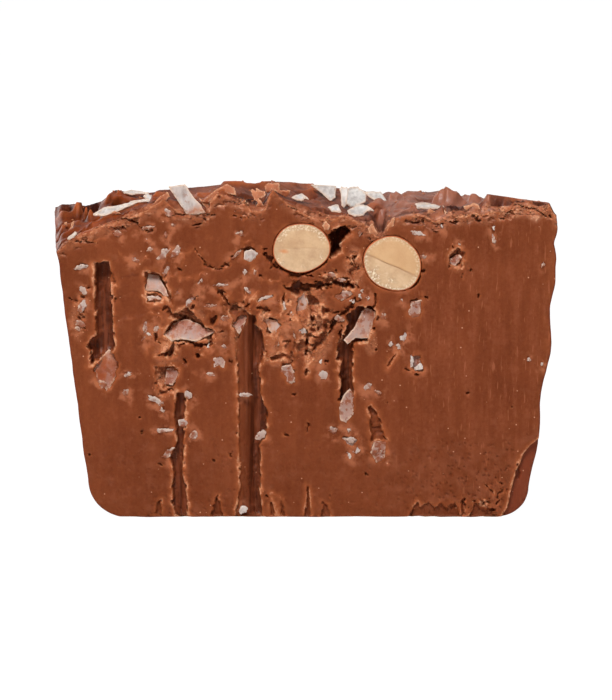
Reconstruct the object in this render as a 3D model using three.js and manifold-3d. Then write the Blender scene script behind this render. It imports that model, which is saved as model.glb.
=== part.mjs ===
// A slice of chocolate fudge, cut across a loaf that was cast in a tin with flared sides.
// Two almonds are cut through in its front face, and flakes of coconut lie in the fudge and on the swirled top.
// Millimetres. X runs along the width, -Y is the cut front face and +Z is up, from the centre of the flat base.
import * as THREE from "three";
import { mergeVertices } from "three/addons/utils/BufferGeometryUtils.js";
import Module from "manifold-3d";

const wasm = await Module();
wasm.setup();

// ---- Driving dimensions ----
const DEPTH = 28; // from the cut front face to the cut back face
const WIDTH = 98.6; // across the top, at the back, where the slice is widest
const FRONT = -DEPTH / 2; // y of the cut front face
const NOMINAL_HEIGHT = 60; // height that the side walls are drawn to, before the domed top is laid over them
const FOOT_RADIUS = { left: 8.3, right: 6.6 }; // round of the tin's bottom corners
const LEFT_FOOT = -41.5; // x of each wall just above that round
const RIGHT_FOOT = 43.1;
const LEFT_FLARE = 0.115; // how far each wall leans out for each millimetre that it rises
const RIGHT_FLARE = 0.1;
const BACK_SPREAD = { left: 2.2, right: 1.0 }; // how much wider the slice is at its back, at each top corner
const GAP = 0.3; // clearance left round every piece that is set in the fudge

// Mesh steps across the width, the depth and the height.
const STEPS = { width: 32, depth: 9, height: 13 };
const FOOT_CROWDING = 1.5; // power that gathers the mesh rows towards the rounded foot

const COLOURS = {
  fudge: 0x83452b,
  almond: 0xd8b488,
  coconut: 0xd6cbc4,
};

// Height of the top along its front and back edges, as [x, z] pairs with a smooth line through them.
const FRONT_CREST = [
  [-48, 52.6],
  [-38, 57.7],
  [-27, 61.8],
  [-18.5, 61.3],
  [-6, 63.0],
  [1.5, 60.3],
  [12, 57.6],
  [19.5, 59.4],
  [41, 61.9],
  [48.6, 58.4],
];
const BACK_CREST = [
  [-49.3, 56.4],
  [-38, 59.4],
  [-5, 61.4],
  [18, 59.4],
  [49.3, 56.6],
];

// Folds of the swirled topping: a ridge where rise is above 0, a gully where it is below.
// length runs along the heading, in degrees from +X, and width across it.
const FOLDS = [
  { x: -41, y: -6, length: 13, width: 6, rise: -5.2, heading: 32 },
  { x: -45, y: 3, length: 11, width: 4, rise: 2.6, heading: 80 },
  { x: -40, y: 9, length: 12, width: 5, rise: -2.6, heading: 25 },
  { x: -33, y: 2, length: 17, width: 5, rise: 2.0, heading: 22 },
  { x: -11, y: -8, length: 9, width: 6, rise: -5.0, heading: 5 },
  { x: -21, y: 3, length: 15, width: 5, rise: 2.2, heading: -30 },
  { x: -14, y: 8, length: 13, width: 5, rise: -2.2, heading: -25 },
  { x: 1, y: 5, length: 17, width: 6, rise: 1.8, heading: 25 },
  { x: 9, y: -3, length: 12, width: 6, rise: -1.8, heading: 60 },
  { x: 15, y: -8, length: 9, width: 5, rise: -4.4, heading: 90 },
  { x: 21, y: 7, length: 12, width: 5, rise: -2.0, heading: 10 },
  { x: 27, y: 0, length: 14, width: 5, rise: 2.6, heading: -20 },
  { x: 42, y: -6, length: 15, width: 6, rise: -3.8, heading: 5 },
  { x: 36, y: 6, length: 12, width: 5, rise: 1.8, heading: 30 },
];

// Soft bulges where the loaf settled against its liner: height up the wall, how far out, and reach.
const WALL_BULGES = {
  left: [{ z: 50, out: 0.5, reach: 9 }],
  right: [
    { z: 52, out: 0.9, reach: 8 },
    { z: 34, out: 1.2, reach: 7 },
    { z: 16, out: 0.8, reach: 7 },
  ],
};

// Channels that the knife tore down the cut face by dragging flakes along. bottom below 0 runs out at the base.
const CHANNELS = [
  { x: -38.3, top: 50.0, bottom: 30.4, width: 2.9, depth: 3.2 },
  { x: -24.1, top: 23.2, bottom: -1, width: 2.3, depth: 2.2 },
  { x: -10.3, top: 41.8, bottom: -1, width: 4.6, depth: 2.4 },
  { x: 8.9, top: 37.3, bottom: 24.1, width: 2.6, depth: 3.0 },
  { x: 14.3, top: 22.2, bottom: 13.8, width: 2.2, depth: 1.6 },
  { x: 1.7, top: 6.2, bottom: -1, width: 1.0, depth: 0.9 },
];

// Torn pockets in the cut face: centre, width, height, depth and a lean in degrees.
const POCKETS = [
  { x: 7.2, z: 54.2, width: 4.4, height: 5.2, depth: 5.0, lean: 35 }, // beside the left almond
  { x: 15.4, z: 57.4, width: 3.0, height: 5.0, depth: 6.0, lean: 0 }, // notch through the top edge
  { x: -10.6, z: 62.6, width: 5.2, height: 3.4, depth: 5.0, lean: 0 }, // notch under the crown
  { x: -25.6, z: 31.6, width: 3.2, height: 8.0, depth: 2.4, lean: -20 }, // crack below the cave
  { x: -1.4, z: 40.2, width: 8.2, height: 6.2, depth: 2.8, lean: 10 }, // crumbled middle
  { x: 1.4, z: 33.2, width: 7.4, height: 4.6, depth: 2.0, lean: -20 },
  { x: 44.6, z: 6, width: 5.0, height: 20, depth: 1.6, lean: 8 }, // chipped lower corner
];

// Almonds lie lengthwise into the slice and are cut through flush with the front face.
const ALMONDS = [
  { name: "almond_left", x: -0.3, z: 52.6, width: 10.8, height: 9.0, length: 11, turn: 6 },
  { name: "almond_right", x: 17.1, z: 49.7, width: 11.6, height: 9.8, length: 12, turn: -26 },
];

// Coconut flakes. Lengths and widths are the flake's own. turn spins a flake in its own plane, tip stands it up
// towards the front, roll leans it sideways (0 where it is left out), and curl lifts its two ends.
const FLAKE_THICKNESS = 0.55;
const FLAKE_STEPS = { length: 6, width: 1 };

// Flakes on the top: rise is how high the middle of each stands over the swirls that carry it.
const TOP_FLAKES = [
  { name: "strip_front", x: -21.4, y: -12.4, rise: 0.6, length: 7.4, width: 3.0, turn: -58, tip: 74, curl: 0.1 },
  { name: "fold_left", x: -35.2, y: -6.5, rise: 0.8, length: 12.5, width: 3.4, turn: 20, tip: 32, roll: -6, curl: 0.5 },
  { name: "sliver_left", x: -44.0, y: -11.8, rise: 0.5, length: 3.2, width: 1.2, turn: 42, tip: 40, roll: -10, curl: 0.1 },
  { name: "fork_left", x: -27.6, y: -3.0, rise: 0.3, length: 4.4, width: 2.4, turn: 40, tip: 30, curl: 0.4 },
  { name: "far_left", x: -33.2, y: 8.0, rise: 0.5, length: 6.0, width: 2.8, turn: 4, tip: 18, curl: 0.5 },
  { name: "chip_front", x: -0.6, y: -11.0, rise: 0.6, length: 3.8, width: 2.0, turn: 6, tip: 40, curl: 0.3 },
  { name: "blade_mid", x: 4.6, y: -1.0, rise: 0.6, length: 5.4, width: 4.2, turn: 75, tip: 36, curl: 0.6 },
  { name: "upright_mid", x: 8.1, y: -7.4, rise: 1.4, length: 4.8, width: 2.0, turn: 84, tip: 58, curl: 0.3 },
  { name: "broad_mid", x: 11.2, y: -1.2, rise: 1.0, length: 6.4, width: 3.8, turn: 76, tip: 34, roll: -6, curl: 0.5 },
  { name: "cupped_mid", x: 10.7, y: -10.4, rise: 0.9, length: 6.2, width: 3.0, turn: 12, tip: 44, curl: 0.7 },
  { name: "wing_mid", x: 15.4, y: 3.6, rise: 0.6, length: 6.0, width: 2.8, turn: -24, tip: 28, roll: 5, curl: 0.4 },
  { name: "crumb_mid", x: 5.6, y: -11.2, rise: 0.5, length: 3.4, width: 1.9, turn: 0, tip: 44, curl: 0.3 },
  { name: "plank_right", x: 24.4, y: -8.6, rise: 0.6, length: 6.0, width: 2.0, turn: -4, tip: 40, curl: 0.1 },
  { name: "tail_right", x: 36.2, y: 6.0, rise: 0.4, length: 4.4, width: 2.6, turn: -15, tip: 30, curl: 0.3 },
];

// Flakes laid bare in the cut face: sunk is how far behind the face the foremost point of each lies.
const FACE_FLAKES = [
  { name: "channel_left", x: -37.5, z: 28.9, sunk: 0.1, length: 8.0, width: 4.0, turn: 80, tip: 86, roll: 4, curl: -0.5 },
  { name: "pocket_left", x: -28.1, z: 45.6, sunk: 0.5, length: 4.8, width: 3.2, turn: 70, tip: 80, roll: 6, curl: 0.2 },
  { name: "cave_broad", x: -22.5, z: 36.9, sunk: 0.6, length: 8.6, width: 3.6, turn: 4, tip: 70, curl: 0.4 },
  { name: "under_cave", x: -25.2, z: 27.5, sunk: 0.7, length: 3.4, width: 2.5, turn: 70, tip: 78, curl: 0.3 },
  { name: "channel_long", x: -11.9, z: 37.9, sunk: 0.9, length: 3.8, width: 2.6, turn: 52, tip: 76, curl: 0.2 },
  { name: "centre_left", x: -5.8, z: 37.9, sunk: 0.3, length: 5.2, width: 2.4, turn: -46, tip: 80, curl: 0.2 },
  { name: "centre_upright", x: -0.3, z: 41.8, sunk: 0.6, length: 4.6, width: 2.0, turn: 86, tip: 82, curl: 0.2 },
  { name: "above_channel", x: 11.4, z: 38.4, sunk: 0.5, length: 8.6, width: 3.4, turn: 54, tip: 80, curl: 0.5 },
  { name: "below_channel", x: 8.6, z: 21.2, sunk: 0.3, length: 6.2, width: 2.6, turn: 84, tip: 84, curl: -0.2 },
  { name: "right_small", x: 21.8, z: 29.9, sunk: 0.4, length: 4.4, width: 2.0, turn: 66, tip: 80, curl: 0.3 },
  { name: "right_high", x: 29.1, z: 50.2, sunk: 0.5, length: 3.8, width: 2.4, turn: 66, tip: 78, curl: 0.2 },
  { name: "low_right", x: 14.8, z: 13.2, sunk: 0.2, length: 4.0, width: 2.6, turn: 80, tip: 84, curl: -0.2 },
  { name: "low_mid", x: 9.4, z: 13.0, sunk: 0.3, length: 4.6, width: 3.0, turn: -50, tip: 78, curl: 0.3 },
  { name: "mid_low", x: -2.8, z: 28.5, sunk: 0.2, length: 3.6, width: 2.6, turn: 70, tip: 84, curl: 0.2 },
  { name: "mid_left", x: -16.0, z: 30.8, sunk: 0.2, length: 3.4, width: 2.4, turn: -20, tip: 80, curl: 0.2 },
  { name: "upper_mid", x: -9.8, z: 50.5, sunk: 0.4, length: 3.8, width: 2.6, turn: 20, tip: 80, curl: 0.3 },
  { name: "right_mid", x: 21.0, z: 41.6, sunk: 0.2, length: 3.4, width: 2.6, turn: 76, tip: 84, curl: 0.2 },
  { name: "over_centre", x: 7.8, z: 43.7, sunk: 0.3, length: 3.8, width: 2.0, turn: 20, tip: 80, curl: 0.2 },
];
const POCKET_ROOM = 0.9; // how much longer and wider the torn pocket is than the flake that lies in it
const POCKET_FLOOR = 0.9; // how far the pocket reaches behind the flake's foremost point

// ---- Small helpers ----
const { lerp, smoothstep, degToRad } = THREE.MathUtils;

// A repeatable number between -1 and 1 for a whole number n.
function scatter(n) {
  const s = Math.sin(n * 127.1 + 311.7) * 43758.5453;
  return 2 * (s - Math.floor(s)) - 1;
}

// Height at x on the smooth line through [x, z] pairs.
function alongCrest(points, x) {
  let i = 1;
  while (i < points.length - 1 && points[i][0] < x) i++;
  const [[x0, z0], [x1, z1]] = [points[i - 1], points[i]];
  return lerp(z0, z1, smoothstep(x, x0, x1));
}

// ---- The slab's own form ----
function foldHeight(x, y) {
  let height = 0;
  for (const f of FOLDS) {
    const a = degToRad(f.heading);
    const along = ((x - f.x) * Math.cos(a) + (y - f.y) * Math.sin(a)) / (f.length / 2);
    const across = ((y - f.y) * Math.cos(a) - (x - f.x) * Math.sin(a)) / (f.width / 2);
    height += f.rise * Math.exp(-(along * along + across * across));
  }
  return height;
}

function topHeight(x, y) {
  const back = (y - FRONT) / DEPTH;
  const edge = lerp(alongCrest(FRONT_CREST, x), alongCrest(BACK_CREST, x), back);
  return edge + foldHeight(x, y) * Math.sin(Math.PI * back);
}

function bulge(list, z) {
  let out = 0;
  for (const b of list) out += b.out * Math.exp(-(((z - b.z) / b.reach) ** 2));
  return out;
}

// How far the rounded foot pulls the wall in at height z.
function footInset(radius, z) {
  const below = Math.max(0, radius - z);
  return radius - Math.sqrt(radius ** 2 - below ** 2);
}

// x of the two walls at height z, back being 0 at the front face and 1 at the back one.
function wallsAt(z, back) {
  const spread = back * smoothstep(z, NOMINAL_HEIGHT / 2, NOMINAL_HEIGHT);
  const leftLean = LEFT_FLARE * Math.max(0, z - FOOT_RADIUS.left) - footInset(FOOT_RADIUS.left, z);
  const rightLean = RIGHT_FLARE * Math.max(0, z - FOOT_RADIUS.right) - footInset(FOOT_RADIUS.right, z);
  const left = LEFT_FOOT - leftLean - bulge(WALL_BULGES.left, z) - BACK_SPREAD.left * spread;
  const right = RIGHT_FOOT + rightLean + bulge(WALL_BULGES.right, z) + BACK_SPREAD.right * spread;
  return [Math.max(left, -WIDTH / 2), Math.min(right, WIDTH / 2)];
}

function slabGeometry() {
  const box = new THREE.BoxGeometry(1, 1, 1, STEPS.width, STEPS.depth, STEPS.height);
  const at = box.attributes.position;
  for (let i = 0; i < at.count; i++) {
    const across = at.getX(i) + 0.5;
    const back = at.getY(i) + 0.5;
    const up = (at.getZ(i) + 0.5) ** FOOT_CROWDING;
    const y = lerp(FRONT, -FRONT, back);
    const [left, right] = wallsAt(up * NOMINAL_HEIGHT, back);
    const x = lerp(left, right, across);
    at.setXYZ(i, x, y, up * topHeight(x, y));
  }
  return box;
}

// ---- Cutting tools ----
// An upright ragged outline in the front face, pushed depth deep into the slab.
function tornCutter(outline, x, z, lean, depth) {
  const proud = 2; // how far the tool stands out of the face before it cuts
  const tool = new THREE.ExtrudeGeometry(new THREE.Shape(outline), {
    depth: depth + proud,
    bevelEnabled: false,
  });
  tool.rotateX(Math.PI / 2);
  tool.rotateY(degToRad(-lean));
  return tool.translate(x, FRONT + depth, z);
}

function channelCutter(c, seed) {
  const pitch = 1.6; // spacing of the teeth down each torn edge
  const tooth = 0.22;
  const height = c.top - c.bottom;
  const steps = Math.round(height / pitch);
  const outline = [];
  for (const side of [-1, 1]) {
    for (let i = 0; i <= steps; i++) {
      const down = side < 0 ? i / steps : 1 - i / steps;
      const edge = side * (c.width / 2 + tooth * scatter(seed + side * 50 + i));
      outline.push(new THREE.Vector2(edge, height / 2 - down * height));
    }
  }
  return tornCutter(outline, c.x, (c.top + c.bottom) / 2, 0, c.depth);
}

function pocketCutter(p, seed) {
  const corners = 9;
  const ragged = 0.16;
  const outline = [];
  for (let i = 0; i < corners; i++) {
    const a = (-2 * Math.PI * i) / corners;
    const reach = 1 + ragged * scatter(seed + i);
    outline.push(new THREE.Vector2((Math.cos(a) * reach * p.width) / 2, (Math.sin(a) * reach * p.height) / 2));
  }
  return tornCutter(outline, p.x, p.z, p.lean, p.depth);
}

// ---- Pieces set in the fudge ----
// The hidden part of an almond, from its flat cut face back to its blunt end. grow makes the hole that it sits in.
function almondGeometry(a, grow) {
  const rings = 6;
  const sides = 20;
  const profile = [new THREE.Vector2(0, 0)];
  for (let i = 0; i <= rings; i++) {
    const t = ((i / rings) * Math.PI) / 2;
    profile.push(new THREE.Vector2(Math.cos(t) / 2, Math.sin(t)));
  }
  profile[rings + 1].x = 0;
  const nut = new THREE.LatheGeometry(profile, sides);
  nut.scale(a.width + 2 * grow, a.length + grow, a.height + 2 * grow);
  nut.rotateY(degToRad(-a.turn));
  return nut.translate(a.x, FRONT, a.z);
}

// A thin curled plate with narrowed, uneven ends, lying in XY before it is placed.
function flakeGeometry(f, grow, seed) {
  const { length: along, width: across } = FLAKE_STEPS;
  const plate = new THREE.BoxGeometry(1, 1, 1, along, across, 1);
  const at = plate.attributes.position;
  for (let i = 0; i < at.count; i++) {
    const s = at.getX(i) * 2;
    const t = at.getY(i) * 2;
    const rim = 1 + 0.12 * scatter(seed + Math.round((s + 1) * along) + (t > 0 ? 40 : 0));
    const taper = 1 - 0.45 * s ** 4;
    const x = s * (f.length / 2 + grow);
    const y = t * ((f.width / 2) * taper * rim + grow);
    const lift = f.curl * (s * s - 0.4) + 0.25 * f.curl * t * t;
    at.setXYZ(i, x, y, at.getZ(i) * (FLAKE_THICKNESS + 2 * grow) + lift);
  }
  return plate;
}

// Stands a flake up and turns it, with its middle still at the origin.
function flakeTurn(f) {
  const stand = new THREE.Euler(degToRad(f.tip), degToRad(f.roll ?? 0), 0, "YXZ");
  const spin = new THREE.Matrix4().makeRotationZ(degToRad(f.turn));
  return new THREE.Matrix4().makeRotationFromEuler(stand).multiply(spin);
}

// A flake on the top lies at its own height over the swirls. One in the cut face is pushed back behind it.
function flakePlace(f, seed) {
  const turned = flakeTurn(f);
  if (f.rise !== undefined) {
    const z = topHeight(f.x, f.y) + f.rise;
    return new THREE.Matrix4().makeTranslation(f.x, f.y, z).multiply(turned);
  }
  const shape = flakeGeometry(f, 0, seed).applyMatrix4(turned);
  shape.computeBoundingBox();
  const y = FRONT + f.sunk - shape.boundingBox.min.y;
  return new THREE.Matrix4().makeTranslation(f.x, y, f.z).multiply(turned);
}

// The torn pocket in the cut face that shows such a flake.
function flakePocket(f) {
  const room = { width: f.width + POCKET_ROOM, height: f.length + POCKET_ROOM };
  return { x: f.x, z: f.z, ...room, depth: f.sunk + POCKET_FLOOR, lean: 90 - f.turn };
}

// ---- Solids and meshes ----
function solidOf(geometry) {
  const bare = new THREE.BufferGeometry();
  bare.setAttribute("position", geometry.attributes.position.clone());
  if (geometry.index) bare.setIndex(geometry.index.clone());
  const merged = mergeVertices(bare, 1e-4);
  return new wasm.Manifold(
    new wasm.Mesh({
      numProp: 3,
      vertProperties: merged.attributes.position.array,
      triVerts: new Uint32Array(merged.index.array),
    }),
  );
}

function geometryOf(solid) {
  const mesh = solid.getMesh();
  const geometry = new THREE.BufferGeometry();
  geometry.setAttribute("position", new THREE.BufferAttribute(mesh.vertProperties, 3));
  geometry.setIndex(new THREE.BufferAttribute(mesh.triVerts, 1));
  geometry.computeVertexNormals();
  return geometry;
}

function pieceMesh(name, geometry, colour, roughness) {
  const mesh = new THREE.Mesh(geometry, new THREE.MeshStandardMaterial({ color: colour, roughness, metalness: 0 }));
  mesh.name = name;
  return mesh;
}

// ---- Assembly ----
const slice = new THREE.Group();
let slab = solidOf(slabGeometry());
const cut = (geometry) => {
  slab = slab.subtract(solidOf(geometry));
};

CHANNELS.forEach((channel, i) => cut(channelCutter(channel, 100 * i)));
POCKETS.forEach((pocket, i) => cut(pocketCutter(pocket, 1000 + 100 * i)));

for (const almond of ALMONDS) {
  cut(almondGeometry(almond, GAP).translate(0, -0.01, 0)); // a hair proud, so that the hole's mouth opens cleanly
  slice.add(pieceMesh(almond.name, almondGeometry(almond, 0), COLOURS.almond, 0.55));
}

[...TOP_FLAKES, ...FACE_FLAKES].forEach((flake, i) => {
  const seed = 3000 + 97 * i;
  const place = flakePlace(flake, seed);
  if (flake.sunk !== undefined) cut(pocketCutter(flakePocket(flake), seed));
  cut(flakeGeometry(flake, GAP, seed).applyMatrix4(place));
  const mesh = pieceMesh("flake_" + flake.name, flakeGeometry(flake, 0, seed), COLOURS.coconut, 0.5);
  mesh.applyMatrix4(place);
  slice.add(mesh);
});

slice.add(pieceMesh("fudge_slab", geometryOf(slab), COLOURS.fudge, 0.6));

export default slice;
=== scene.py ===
# %% [markdown]
# # A slice of chocolate fudge with almonds and coconut
# The slice was cut across a loaf that had set in a tin, so it has four kinds of surface: a knife-cut face
# at the front and at the back, smooth walls where it lay against the tin, and a swirled top with coconut
# strewn over it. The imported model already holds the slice's true size and the place of each separate
# piece. It is loaded first, and every piece below is made inside it.

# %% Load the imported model
from math import cos, pi, radians, sin

import bmesh
import bpy
import numpy as np
from mathutils import Matrix, Vector, noise


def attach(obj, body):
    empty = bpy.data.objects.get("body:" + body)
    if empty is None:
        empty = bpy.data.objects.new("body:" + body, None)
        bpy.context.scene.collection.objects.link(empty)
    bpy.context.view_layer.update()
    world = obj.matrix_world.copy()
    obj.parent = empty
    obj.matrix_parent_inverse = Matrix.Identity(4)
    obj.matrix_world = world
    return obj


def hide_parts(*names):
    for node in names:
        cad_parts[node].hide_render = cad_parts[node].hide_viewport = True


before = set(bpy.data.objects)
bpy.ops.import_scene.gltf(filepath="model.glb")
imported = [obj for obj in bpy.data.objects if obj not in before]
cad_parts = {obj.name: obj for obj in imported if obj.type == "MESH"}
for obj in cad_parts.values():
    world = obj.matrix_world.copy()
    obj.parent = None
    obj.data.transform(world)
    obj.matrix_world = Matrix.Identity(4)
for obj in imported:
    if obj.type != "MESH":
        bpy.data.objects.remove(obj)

noise.seed_set(11)  # unseeded, its vector noise would start from the clock and change from run to run

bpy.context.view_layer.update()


# %% [markdown]
# ## Camera, floor and light
# The slice stands on a plain pale floor and is seen from twelve degrees above. Hollows in chocolate only
# read as hollows when the light comes from above the lens, so one large soft box hangs high in front,
# a weaker one fills from low down, a third behind the slice puts a sheen on the swirled top, and a
# fourth, well to the side, lights the rear for whoever walks round it.
# A long lens keeps the walls upright.

# %% Camera
MM = 0.001  # the tables below are in millimetres, and Blender works in metres
CAMERA_TILT = radians(12)
CAMERA_DISTANCE = 500
SIGHT_SLOPE = 0.2126  # how far a line of sight falls in one millimetre of depth, at that tilt
AIM = (0.7, -14, 33.3)
VIEW_HEIGHT = 134.4  # millimetres from the top to the bottom of the view, at the front face

lens = bpy.data.cameras.new("lens")
lens.sensor_width = 36
lens.lens = 36 * CAMERA_DISTANCE / VIEW_HEIGHT
lens.clip_start, lens.clip_end = 0.01, 10
camera = bpy.data.objects.new("camera", lens)
camera.location = [
    AIM[0] * MM,
    (AIM[1] - CAMERA_DISTANCE * cos(CAMERA_TILT)) * MM,
    (AIM[2] + CAMERA_DISTANCE * sin(CAMERA_TILT)) * MM,
]
camera.rotation_euler = (pi / 2 - CAMERA_TILT, 0, 0)
bpy.context.scene.collection.objects.link(camera)
bpy.context.scene.camera = camera
bpy.context.scene.view_settings.view_transform = "Standard"
print("lens", round(lens.lens, 1), "mm")


# %% Soft boxes
def hang_softbox(name, place, aim, width, height, watts):
    """Hangs one soft light at a place in millimetres, turned to face a point."""
    box = bpy.data.lights.new(name, "AREA")
    box.shape, box.size, box.size_y, box.energy = "RECTANGLE", width * MM, height * MM, watts
    lamp = bpy.data.objects.new(name, box)
    lamp.location = Vector(place) * MM
    lamp.rotation_euler = (Vector(aim) - Vector(place)).to_track_quat("-Z", "Y").to_euler()
    bpy.context.scene.collection.objects.link(lamp)


hang_softbox("key_softbox", (-90, -330, 420), (0, 0, 34), 150, 120, 2.62)
hang_softbox("fill_softbox", (260, -420, 90), (0, 0, 30), 300, 300, 0.3)
hang_softbox("back_softbox", (60, 330, 330), (0, 0, 60), 360, 200, 0.3)
hang_softbox("rear_softbox", (-320, 380, 170), (0, 14, 30), 260, 260, 1.1)

# %% [markdown]
# ## Writing a finish as sums
# A procedural finish is a net of small nodes. Wired by hand in the editor it is easy to see, but in a
# script it is easier to follow as plain sums, such as hollow * 0.6 + grain. The small class below wraps
# one output socket, so that +, -, * and / each add the Math node they stand for. Colours go through a
# Mix node, because a Math node would turn them grey.


# %% Sums on sockets
class Wire:
    """One output socket of a finish, on which plain sums can be written."""

    def __init__(self, tree, socket):
        self.tree, self.socket = tree, socket

    def node(self, kind, settings=None, values=None, out=0):
        """Adds a node: its type, its settings, then the values or wires of its sockets."""
        made = self.tree.nodes.new(kind)
        for key, value in (settings or {}).items():
            if key == "stops":
                ramp = made.color_ramp
                while len(ramp.elements) < len(value):
                    ramp.elements.new(0.5)
                for element, (at, colour) in zip(ramp.elements, value):
                    element.position, element.color = at, (*colour, 1)
            else:
                setattr(made, key, value)
        for key, value in (values or {}).items():
            if isinstance(value, Wire):
                self.tree.links.new(value.socket, made.inputs[key])
            else:
                made.inputs[key].default_value = value
        return Wire(self.tree, made.outputs[out])

    def sum(self, operation, first, second):
        return self.node("ShaderNodeMath", {"operation": operation}, {0: first, 1: second})

    def __add__(self, other):
        return self.sum("ADD", self, other)

    def __radd__(self, other):
        return self.sum("ADD", other, self)

    def __sub__(self, other):
        return self.sum("SUBTRACT", self, other)

    def __rsub__(self, other):
        return self.sum("SUBTRACT", other, self)

    def __mul__(self, other):
        return self.sum("MULTIPLY", self, other)

    def __rmul__(self, other):
        return self.sum("MULTIPLY", other, self)

    def __truediv__(self, other):
        return self.sum("DIVIDE", self, other)

    def between(self, low, high):
        """0 below low and 1 above high, with an even rise between the two."""
        return self.node("ShaderNodeMapRange", {"clamp": True}, {0: self, 1: low, 2: high})

    def limited(self):
        return self.between(0.0, 1.0)

    def blend(self, first, second):
        """The first colour where this wire is 0 and the second where it is 1."""
        return self.node(
            "ShaderNodeMix", {"data_type": "RGBA", "clamp_factor": True},
            {0: self, 6: first, 7: second}, out=2
        )


def paint(red, green, blue):
    """A colour from the usual 0 to 255 scale, as the light that Blender reckons with."""
    parts = [value / 255 for value in (red, green, blue)]
    return tuple(v / 12.92 if v <= 0.04045 else ((v + 0.055) / 1.055) ** 2.4 for v in parts) + (1.0,)


def start_finish(name):
    """A new finish: its material, a wire for adding nodes, and the position on the piece."""
    material = bpy.data.materials.new(name)
    material.use_nodes = True
    material.node_tree.nodes.clear()
    pen = Wire(material.node_tree, None)
    place = pen.node("ShaderNodeTexCoord", out=3)
    return material, pen, place


def read(pen, name):
    """One of a piece's own attributes, such as how deep in a hollow each point lies."""
    return pen.node("ShaderNodeAttribute", {"attribute_name": name}, out=2)


def speckle(pen, place, size_mm, detail=2.0, rough=0.5, stretch=(1, 1, 1)):
    """Noise from 0 to 1 whose lumps are about size_mm across."""
    scaled = pen.node("ShaderNodeMapping", None, {0: place, 3: tuple(s / (size_mm * MM) for s in stretch)})
    return pen.node("ShaderNodeTexNoise", None, {0: scaled, 2: 1.0, 3: detail, 4: rough})


def seeds(pen, place, per_mm):
    """Distance from each point to the nearest of many seeds, with so many to a millimetre."""
    in_metres = pen.node("ShaderNodeMapping", None, {0: place, 3: (1 / MM, 1 / MM, 1 / MM)})
    return pen.node("ShaderNodeTexVoronoi", {"feature": "F1"}, {0: in_metres, 2: per_mm})


def end_finish(pen, colour, roughness, height, bump_mm, fixed):
    """Closes a finish: what varies goes to colour, roughness and bump, and the rest is set as it is."""
    normal = pen.node("ShaderNodeBump", None, {"Strength": 1.0, "Distance": bump_mm * MM, "Height": height})
    skin = pen.node(
        "ShaderNodeBsdfPrincipled",
        {"subsurface_method": "RANDOM_WALK"},
        {"Base Color": colour, "Roughness": roughness, "Normal": normal, **fixed},
    )
    output = pen.tree.nodes.new("ShaderNodeOutputMaterial")
    pen.tree.links.new(skin.socket, output.inputs[0])


# %% Floor and surrounding light
floor_mesh = bpy.data.meshes.new("floor")
bm = bmesh.new()
bmesh.ops.create_grid(bm, x_segments=1, y_segments=1, size=3.0)
bm.to_mesh(floor_mesh)
bm.free()
floor = bpy.data.objects.new("floor", floor_mesh)
bpy.context.scene.collection.objects.link(floor)

floor_material = bpy.data.materials.new("floor_paper")
floor_material.use_nodes = True
floor_material.node_tree.nodes.clear()
pen = Wire(floor_material.node_tree, None)
seen = pen.node("ShaderNodeLightPath")
paper = pen.node("ShaderNodeBsdfDiffuse", None, {"Color": paint(236, 234, 232)})
glow = pen.node("ShaderNodeEmission", None, {"Color": (1, 1, 1, 1), "Strength": 1.1})
bright_paper = pen.node("ShaderNodeMixShader", None, {0: seen * 0.9, 1: paper, 2: glow})
paper_out = pen.tree.nodes.new("ShaderNodeOutputMaterial")
pen.tree.links.new(bright_paper.socket, paper_out.inputs[0])
floor_mesh.materials.append(floor_material)

world = bpy.data.worlds.new("studio")
bpy.context.scene.world = world
world.use_nodes = True
world.node_tree.nodes.clear()
pen = Wire(world.node_tree, None)
seen = pen.node("ShaderNodeLightPath")
soft = pen.node("ShaderNodeBackground", None, {0: (1, 1, 1, 1), 1: seen * 0.84 + 0.16})
world_out = pen.tree.nodes.new("ShaderNodeOutputWorld")
pen.tree.links.new(soft.socket, world_out.inputs[0])

# %% [markdown]
# ## Evenly uneven: two kinds of chance
# Torn chocolate is rough in two ways. Soft swells come from smooth noise, and crumbs come from cells,
# where each point belongs to the nearest of a scatter of seeds. Both are worked out here from whole
# numbers and a seed, so every run gives the same slice.


# %% Smooth noise and cells
def dice(i, j, seed):
    """A fixed chance number from 0 to 1 for each pair of whole numbers."""
    h = i.astype(np.uint64) * np.uint64(374761393) + j.astype(np.uint64) * np.uint64(668265263)
    h = h + np.uint64(seed * 2246822519 + 97)
    h = (h ^ (h >> np.uint64(13))) * np.uint64(1274126177)
    h = h ^ (h >> np.uint64(16))
    return (h & np.uint64(0xFFFFFF)).astype(float) / 0xFFFFFF


def swell(p, q, size, seed, octaves=1):
    """Smooth unevenness from -1 to 1, with swells about size across."""
    total, weight, strength = 0.0, 0.0, 1.0
    for k in range(octaves):
        a, b = p / size, q / size
        i, j = np.floor(a).astype(np.int64), np.floor(b).astype(np.int64)
        s, t = a - i, b - j
        s, t = s * s * (3 - 2 * s), t * t * (3 - 2 * t)
        low = dice(i, j, seed + k) * (1 - s) + dice(i + 1, j, seed + k) * s
        high = dice(i, j + 1, seed + k) * (1 - s) + dice(i + 1, j + 1, seed + k) * s
        total = total + strength * ((low * (1 - t) + high * t) * 2 - 1)
        weight += strength
        size, strength = size / 2, strength / 2
    return total / weight


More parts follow.
